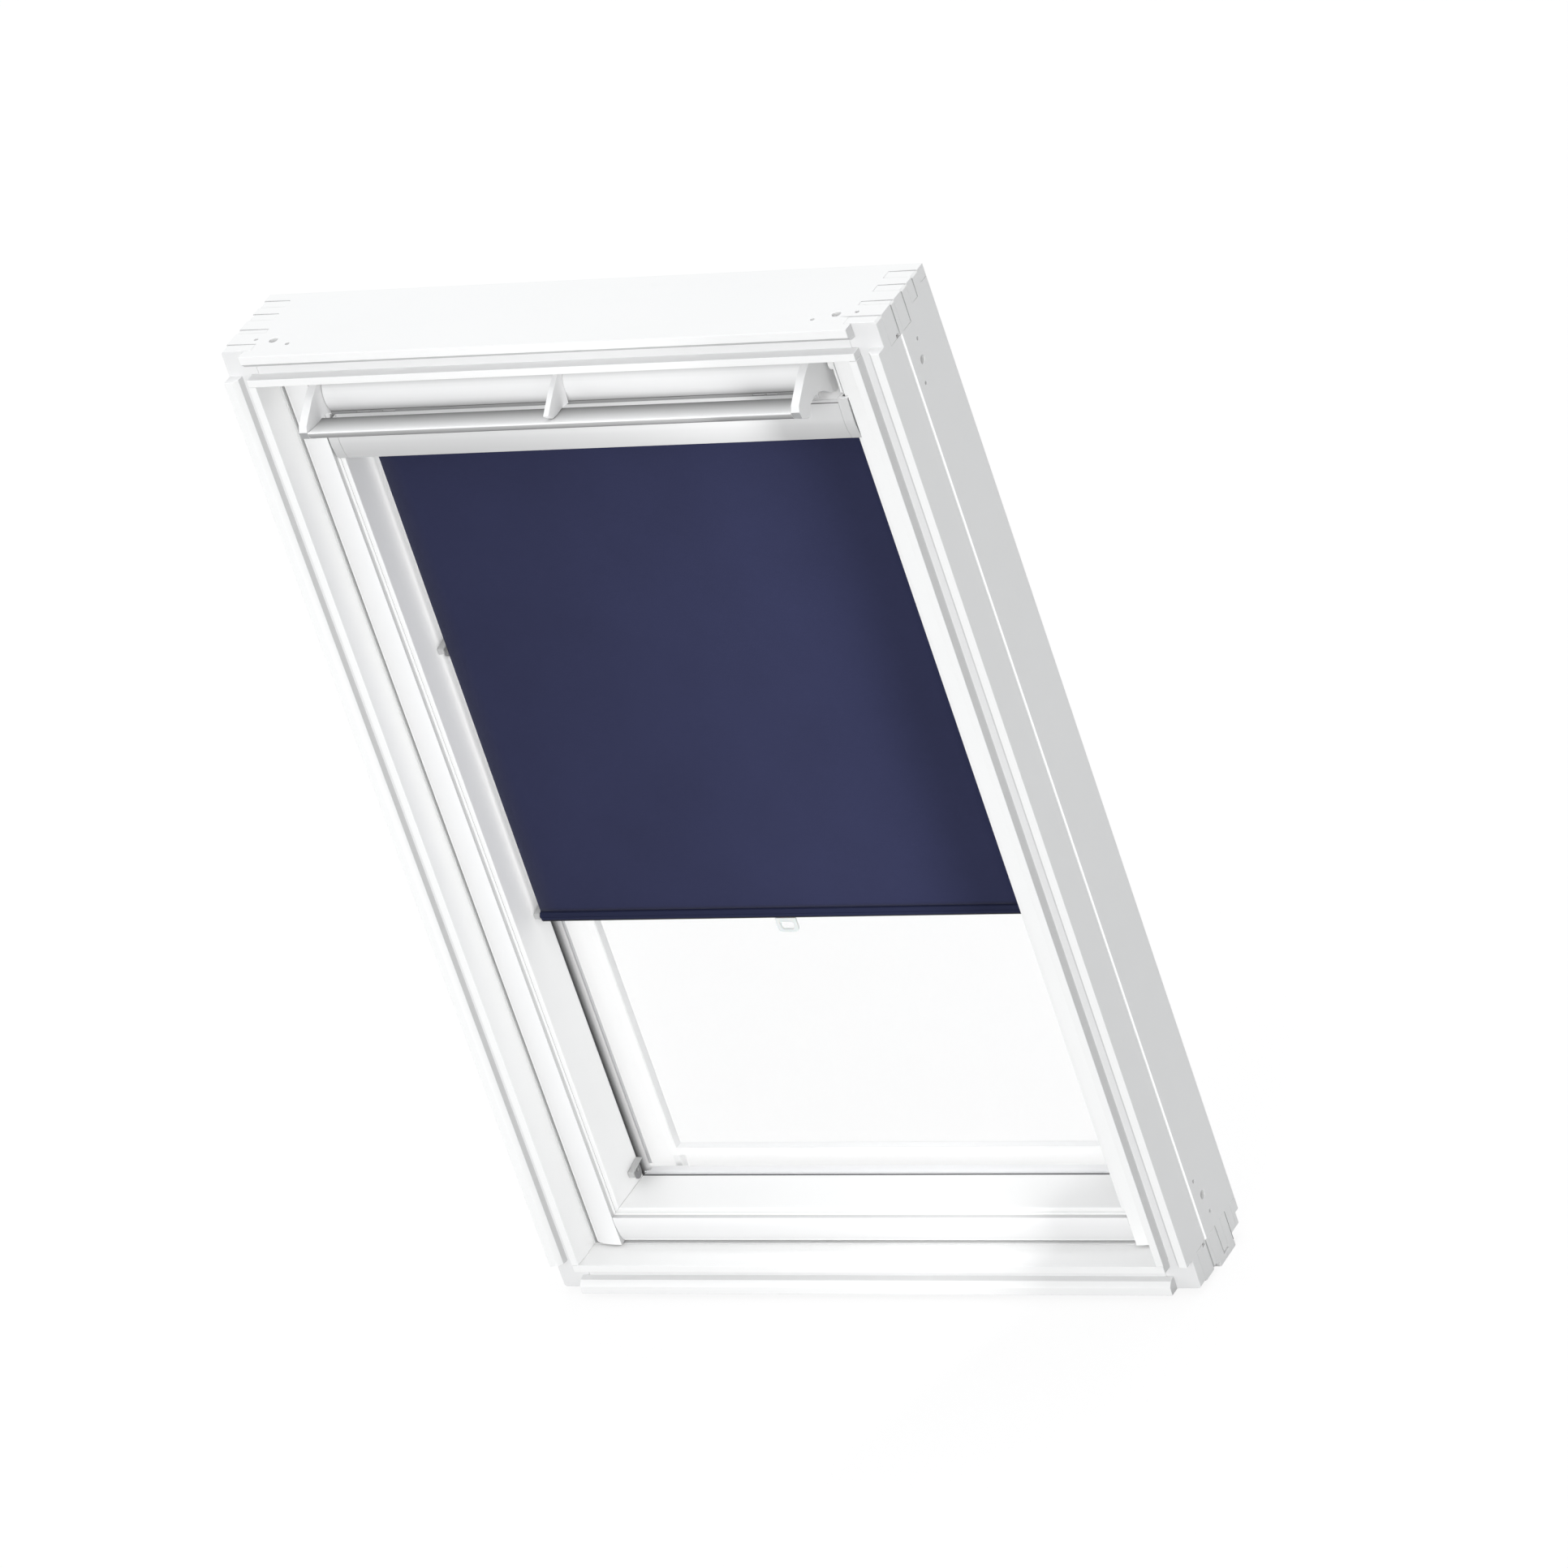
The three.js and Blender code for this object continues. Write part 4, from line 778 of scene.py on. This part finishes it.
# %% Control bar
bar_top = smooth_path([(0.8, 1103.5), (-11.3, 1102.7), (-21.4, 1103.4), (-30.4, 1105.0)], 6)
bar_front = smooth_path([(-30.9, 1104.8), (-30.9, 1101.8), (-29.6, 1098.2), (-26.4, 1095.6)], 4)
bar_back = smooth_path([(-24.6, 1095.9), (-12.6, 1099.6), (0.4, 1103.0)], 3)
FLAP_ENDS = (102.2, 677.8)
control_bar = pull_outline("control_bar_drawn", [*bar_top, *bar_front, *bar_back], "x", *FLAP_ENDS)
round_edges(control_bar, 0.2, angle=40)
settle(control_bar, "vent_flap", "satin_aluminium", "control_bar")
# Painted reflection: the bar's top grades from light at the crease to dark at its back. Painted shade: the
# face under the crease darkens downwards.
bar_reflection_tones = [(-31, 1.0), (-29.5, 0.95), (-24, 0.8), (-16, 0.63), (-8, 0.43), (-2, 0.25), (1, 0.18)]
under_shade_tones = [(1095.5, 0.1), (1097, 0.2), (1099, 0.32), (1102, 0.44), (1104, 0.56), (1105, 0.8)]
control_bar.data.materials[0] = toned("bar_painted_reflection", "Y", bar_reflection_tones, 0.4, 0.2)
turned_under_shade = toned("turned_under_shade", "Z", under_shade_tones, 0.4, 0.2)
tint(control_bar, turned_under_shade, lambda at, facing: facing.z < 0.05 and facing.y < -0.2)
print("control bar faces:", len(control_bar.data.polygons))

# %% [markdown]
# ## The ventilation flap
#
# The flap is a strip of painted sheet, rolled to a part of a drum around the flap's axle.

# %% Flap shell
AXLE = (49, 1116)
OUTER_RADIUS, INNER_RADIUS = 33.4, 31.1
TOP_ANGLE, LOW_ANGLE, FLAP_STEPS = 135.5, 207.5, 28
FLAP_FOOT = (19.4, 1100.4)
outer = arc(AXLE, OUTER_RADIUS, TOP_ANGLE, LOW_ANGLE, FLAP_STEPS)
inner = arc(AXLE, INNER_RADIUS, LOW_ANGLE, TOP_ANGLE, FLAP_STEPS)
flap = pull_outline("vent_flap_rolled", [*outer[:-1], FLAP_FOOT, *inner[1:]], "x", *FLAP_ENDS)
round_edges(flap, 0.3, angle=40)
settle(flap, "vent_flap", "white_metal", "vent_flap")
# The flap's enamel is painted with shade that darkens towards its lower edge and its top.
flap_shade_tones = [(1100.4, 0.25), (1102, 0.38), (1105, 0.5), (1108, 0.62), (1112, 0.75), (1116, 0.82)]
flap_shade_tones += [(1120, 0.86), (1124, 0.88), (1128, 0.84), (1132, 0.66), (1140, 0.55)]
flap.data.materials[0] = toned("flap_enamel_and_shade", "Z", flap_shade_tones, 0.3)
print("flap faces:", len(flap.data.polygons))

# %% [markdown]
# The flap's lower edge is folded into a lip with four short slots, painted dark grey as the shade along the
# bottom of the drum. A bent flange stands behind the lip. It sits far enough back to pass the head rail when
# the flap is open.

# %% Lip under the flap
LIP_ENDS = (102.4, 677.6)
SLOT_MIDDLE, SLOT_DEEP, SLOT_TALL = (19.9, 1098), 4, 1.3
lip_shade = finish("lip_shade", (0.3, 0.3, 0.3), 0.6, wander=0.01)
fold_outline = [(19.3, 1096.6), (20.5, 1096.6), (20.5, 1100.0), (19.3, 1100.0)]
fold = pull_outline("flap_fold", fold_outline, "x", *LIP_ENDS)


def block(middle, sides):
    deselect()
    bpy.ops.mesh.primitive_cube_add(size=1, location=place(*middle), scale=size(*sides))
    bpy.ops.object.transform_apply(location=True, rotation=False, scale=True)
    return bpy.context.object


vents = []
for start, end in ((133.3, 149.9), (164.8, 180.4), (606.7, 620.8), (622.5, 635.7)):
    vents.append(block(((start + end) / 2, *SLOT_MIDDLE), (end - start, SLOT_DEEP, SLOT_TALL)))
take_away(fold, join_all(vents, "vents"))
settle(fold, "vent_flap", "white_metal")
# Painted shade: the lip is dark grey.
fold.data.materials[0] = lip_shade
flange_outline = [(20.4, 1099.9), (27.4, 1099.9), (27.4, 1088.4)]
flange_outline += [(26.0, 1088.4), (26.0, 1098.9), (20.4, 1098.9)]
flange = pull_outline("flap_flange", flange_outline, "x", *LIP_ENDS)
round_edges(flange, 0.15)
settle(flange, "vent_flap", "white_metal")
print("lip slots:", len(vents))

# %% [markdown]
# ## Side hooks
#
# Three pairs of bent steel hooks are screwed into the stiles, so that the blind can be held at three heights.
# On the real blind the bar's end pins rest behind the hooks' lips. Here the pins end just short of the hooks,
# and the bar slides past them. The arm is one bent strip, the plate under it is darker, and a small
# round-headed screw holds the plate to the wood. A left hook is modelled at each height and mirrored to the
# right.

# %% One side hook
def hook_parts(z):
    arm = [(77.2, z - 6.6), (77.2, z - 0.8), (77.9, z + 0.1), (101.2, z + 3.9)]
    arm += [(101.2, z + 2.2), (79.2, z - 1.6), (78.8, z - 2.2), (78.8, z - 6.6)]
    strip = pull_outline("hook_arm", arm, "x", 83.1, 90.5)
    round_edges(strip, 0.3, angle=35)
    heel = arc((94.5, z - 12.0), 6.6, 0, -180, 10)
    web = [(80.2, z - 1.5), (101.2, z + 2.1), *heel, (85.4, z - 7.2)]
    plate = pull_outline("hook_plate", web, "x", 83.1, 84.7)
    round_edges(plate, 0.25, angle=35)
    return strip, plate


def pan_screw(z):
    head = round_bar("hook_screw", (85.3, 94.0, z - 7.2), 1.7, 1.2, "x", 24)
    pick(head)
    bpy.ops.object.mode_set(mode="EDIT")
    bpy.ops.mesh.select_all(action="DESELECT")
    bpy.ops.object.mode_set(mode="OBJECT")
    for face in head.data.polygons:
        face.select = face.normal.x > 0.9
    bpy.ops.object.mode_set(mode="EDIT")
    bpy.ops.mesh.inset(thickness=0.0006)
    bpy.ops.transform.translate(value=size(0.5, 0, 0))
    bpy.ops.object.mode_set(mode="OBJECT")
    for wide, tall in ((1.8, 0.5), (0.5, 1.8)):
        take_away(head, block((86.3, 94.0, z - 7.2), (1.2, wide, tall)))
    round_edges(head, 0.12, angle=35)
    return head


finishes["hook_grey"] = finish("hook_grey", (0.47, 0.47, 0.47), 0.42, 0.1, wander=0.03)
finishes["plate_grey"] = finish("plate_grey", (0.27, 0.27, 0.275), 0.5, 0.2, wander=0.04)


def mirror_copy(thing, name):
    twin = thing.copy()
    twin.data = thing.data.copy()
    twin.name = name
    scene.collection.objects.link(twin)
    twin.data.transform(Matrix.Scale(-1, 4, (1, 0, 0)))
    twin.data.flip_normals()
    return twin


LOWEST_HOOK, HOOK_SPACING, HOOK_ROWS = 104.5, 334, 3
for row in range(HOOK_ROWS):
    height = LOWEST_HOOK + HOOK_SPACING * row
    hook_arm, plate = hook_parts(height)
    screw = pan_screw(height)
    kinds = ((hook_arm, "hook_grey", "arm"), (plate, "plate_grey", "plate"), (screw, "plated_steel", "screw"))
    for thing, look, kind in kinds:
        thing.name = f"hook_{kind}_{row + 1}_left"
        twin = mirror_copy(thing, f"hook_{kind}_{row + 1}_right")
        for each, hand in ((thing, "left"), (twin, "right")):
            each.data.materials.clear()
            each.data.materials.append(finishes[look])
            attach(each, "sash")
            if kind == "arm":
                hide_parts(f"side_hook_{row + 1}_{hand}")

# %% [markdown]
# ## The cloth
#
# The navy cloth comes off the back of the roll and hangs dead straight to the bottom bar, because the spring
# pulls on it all the time. Its weave is stretched or squeezed with it when the blind moves.
#
# The sheet is one grid of faces with a live thickness. When the bar moves, every row of the grid has to move
# by its share of the travel, so the share must grow evenly from the roll to the bar. The rows are therefore
# set back by less than a millimetre, in a curve that undoes an easing, so that the share can be read from
# that small set-back.

# %% Hanging cloth
TOP, BOTTOM = Vector((390, 84.2, 1055)), Vector((390, 77.6, 441.2))
SET_BACK = 0.9
SHEET_SPAN, FLAT_WIDTH = 594.6, 0.595
down = (BOTTOM - TOP).normalized()
outward = Vector((1, 0, 0)).cross(down).normalized()
if outward.y < 0:
    outward = -outward


def undo_easing(share):
    return 0.5 - math.sin(math.asin(1 - 2 * share) / 3)


columns, rows = 24, 120
deselect()
bpy.ops.mesh.primitive_grid_add(x_subdivisions=columns, y_subdivisions=rows, size=1, calc_uvs=True)
sheet = bpy.context.object
sheet.name = "fabric_sheet_woven"
sheet.data.uv_layers[0].name = "cloth"
length = (BOTTOM - TOP).length
for corner in sheet.data.vertices:
    across, share = corner.co.x, 0.5 - corner.co.y
    spot = TOP.lerp(BOTTOM, share) + outward * SET_BACK * undo_easing(share)
    corner.co = place(MIDDLE_X + across * SHEET_SPAN, spot.y, spot.z)
for loop in sheet.data.uv_layers[0].data:
    loop.uv = (loop.uv.x * FLAT_WIDTH, loop.uv.y * length / 1000)
sheet.data.update()
pick(sheet)
bpy.ops.object.mode_set(mode="EDIT")
bpy.ops.mesh.select_all(action="SELECT")
bpy.ops.mesh.normals_make_consistent(inside=False)
bpy.ops.object.mode_set(mode="OBJECT")
bpy.ops.object.shade_smooth()
thickness = sheet.modifiers.new("thickness", "SOLIDIFY")
thickness.thickness = 0.0006
thickness.offset = 0
sheet.data.materials.append(finishes["navy_fabric"])
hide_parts("fabric_sheet")
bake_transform(sheet)
print("cloth length in mm:", round(length, 1))

# %% [markdown]
# ## The roll
#
# What the blind doesn't need is wound on the tube. Its section is a real spiral of a few turns, so the end of
# the roll shows its layers.

# %% Wound cloth
turns, layer, steps_a_turn = 4, 0.5, 40
ROLL_Y, ROLL_Z, ROLL_RADIUS, CLOTH_THICK = 71.8, 1055, 12.15, 0.38
CLOTH_ENDS = (92.7, 687.3)
steps = steps_a_turn * turns
outside = []
inside = []
for step in range(steps + 1):
    angle = 2 * math.pi * turns * step / steps
    radius = ROLL_RADIUS - layer * turns * step / steps
    for path, reach in ((outside, radius), (inside, radius - CLOTH_THICK)):
        path.append((ROLL_Y + reach * math.cos(angle), ROLL_Z + reach * math.sin(angle)))
roll = pull_outline("fabric_roll_wound", [*outside, *reversed(inside)], "x", *CLOTH_ENDS)
roll.data.uv_layers.new(name="cloth")
pick(roll)
bpy.ops.object.mode_set(mode="EDIT")
bpy.ops.mesh.select_all(action="SELECT")
bpy.ops.uv.cube_project(cube_size=1)
bpy.ops.object.mode_set(mode="OBJECT")
bpy.ops.object.shade_smooth_by_angle(angle=math.radians(32))
settle(roll, "roller", "navy_fabric", "fabric_roll")
print("turns on the roll:", turns)

# %% [markdown]
# ## Bottom bar and pull tab
#
# The cloth is clamped into a slim enamelled bar. The clamp line shows as a thin groove halfway down. The
# pull tab is a moulded ring of pale, slightly see-through plastic that clips under the middle of the bar.

# %% Bottom bar
section = [
    (77.2, 441.4), (75.7, 440.7), (75.1, 439.4), (75.1, 436.2), (75.5, 435.9), (75.5, 435.5),
    (75.0, 435.2), (74.9, 433.6), (75.05, 432.3), (75.3, 431.2), (76.3, 429.9), (77.5, 429.7),
    (78.7, 429.9), (79.7, 431.2), (80.1, 433.6), (80.1, 440.8), (79.7, 441.4),
]
BAR_ENDS = (92.6, 687.4)
bottom_bar = pull_outline("bottom_bar_drawn", section, "x", *BAR_ENDS)
round_edges(bottom_bar, 0.12, angle=30)
settle(bottom_bar, "blind_bar", "navy_metal", "bottom_bar")
# Painted shade: the lowest front faces of the bar are nearly black.
navy_edge_shade = finish("navy_edge_shade", (0.003, 0.004, 0.01), 0.8, wander=0.02)
tint(bottom_bar, navy_edge_shade, lambda at, facing: at.z < 432.1 and facing.y < -0.2)
print("bar faces:", len(bottom_bar.data.polygons))


# %% Pull tab
def rounded(x0, x1, z0, z1, low, high, steps=8):
    return [
        *arc((x1 - high, z1 - high), high, 0, 90, steps),
        *arc((x0 + high, z1 - high), high, 90, 180, steps),
        *arc((x0 + low, z0 + low), low, 180, 270, steps),
        *arc((x1 - low, z0 + low), low, 270, 360, steps),
    ]


tab = pull_outline("pull_tab_moulded", rounded(377.6, 402.4, 411.8, 429.2, 5.5, 0.8), "y", 76.3, 78.7)
eye = pull_outline("tab_eye", rounded(382.0, 398.0, 415.2, 423.6, 3.6, 2.6), "y", 70, 85)
take_away(tab, eye)
recess = pull_outline("tab_recess", rounded(381.4, 398.6, 421.0, 426.4, 1.0, 2.4), "y", 70, 77.3)
take_away(tab, recess)
round_edges(tab, 0.45, angle=40, segments=3)
settle(tab, "blind_bar", "pale_plastic", "pull_tab")
print("tab faces:", len(tab.data.polygons))

# %% [markdown]
# ## Glazing trims
#
# Through the edge of the glass one sees the rounded metal spacer that keeps the panes apart, and along the
# wood runs a thin black line: the sealing strip that the inner pane is bedded on. A lip on either side widens
# the spacer to the grey band that the photo shows. Its section is a guess.

# %% Spacer and bedding strip
spacer = copy_solid("pane_spacer", "pane_spacer_rolled")
round_edges(spacer, 4.5, angle=40, segments=5)
settle(spacer, "sash", node_slot["pane_spacer"], "pane_spacer")
# Painted shade: the spacer darkens towards the room-side pane.
spacer_shade_tones = [(107, 0.1), (110, 0.25), (113, 0.5), (116, 0.64), (118, 0.8), (123, 0.9)]
spacer.data.materials[0] = toned("spacer_side_shade", "Y", spacer_shade_tones, 0.4, 0.2)
# Painted light: the upward faces of the bottom spacer are lighter.
spacer_bottom_lit = finish("spacer_bottom_lit", (0.83, 0.83, 0.84), 0.4, 0.1, wander=0.02)
tint(spacer, spacer_bottom_lit, lambda at, facing: at.z < 84 and facing.z > 0.3)
spacer_lip = finish("spacer_lip", (0.58, 0.58, 0.59), 0.4, 0.2, wander=0.02)
for hand, x0, x1 in (("left", 81.4, 85.8), ("right", 694.2, 698.6)):
    lip_outline = [(x0, 121.4), (x1, 121.4), (x1, 122.4), (x0, 122.4)]
    lip = pull_outline(f"spacer_lip_{hand}", lip_outline, "z", 86, 1054)
    round_edges(lip, 0.2, angle=40)
    settle(lip, "sash", node_slot["pane_spacer"])
    lip.data.materials[0] = spacer_lip


def ring_strip(name, outer_box, width, front, back):
    x0, x1, z0, z1 = outer_box
    body = pull_outline(name, [(x0, z0), (x1, z0), (x1, z1), (x0, z1)], "y", front, back)
    left, right, low, high = x0 + width, x1 - width, z0 + width, z1 - width
    hole = [(left, low), (right, low), (right, high), (left, high)]
    take_away(body, pull_outline("hole", hole, "y", front - 5, back + 5))
    return body


bedding = ring_strip("bedding_strip", (82.7, 697.3, 83.1, 1058), 0.5, 102.2, 102.9)
round_edges(bedding, 0.2, angle=40)
settle(bedding, "sash", "grey_foam")
finishes["bedding_tape"] = finish("bedding_tape", (0.08, 0.08, 0.085), 0.75, wander=0.05, relief=0.05)
bedding.data.materials[0] = finishes["bedding_tape"]
print("trims made:", spacer.name, bedding.name)

# %% [markdown]
# ## The window's size
#
# The looks must not change the window's size.

# %% Sizes and finish
import json
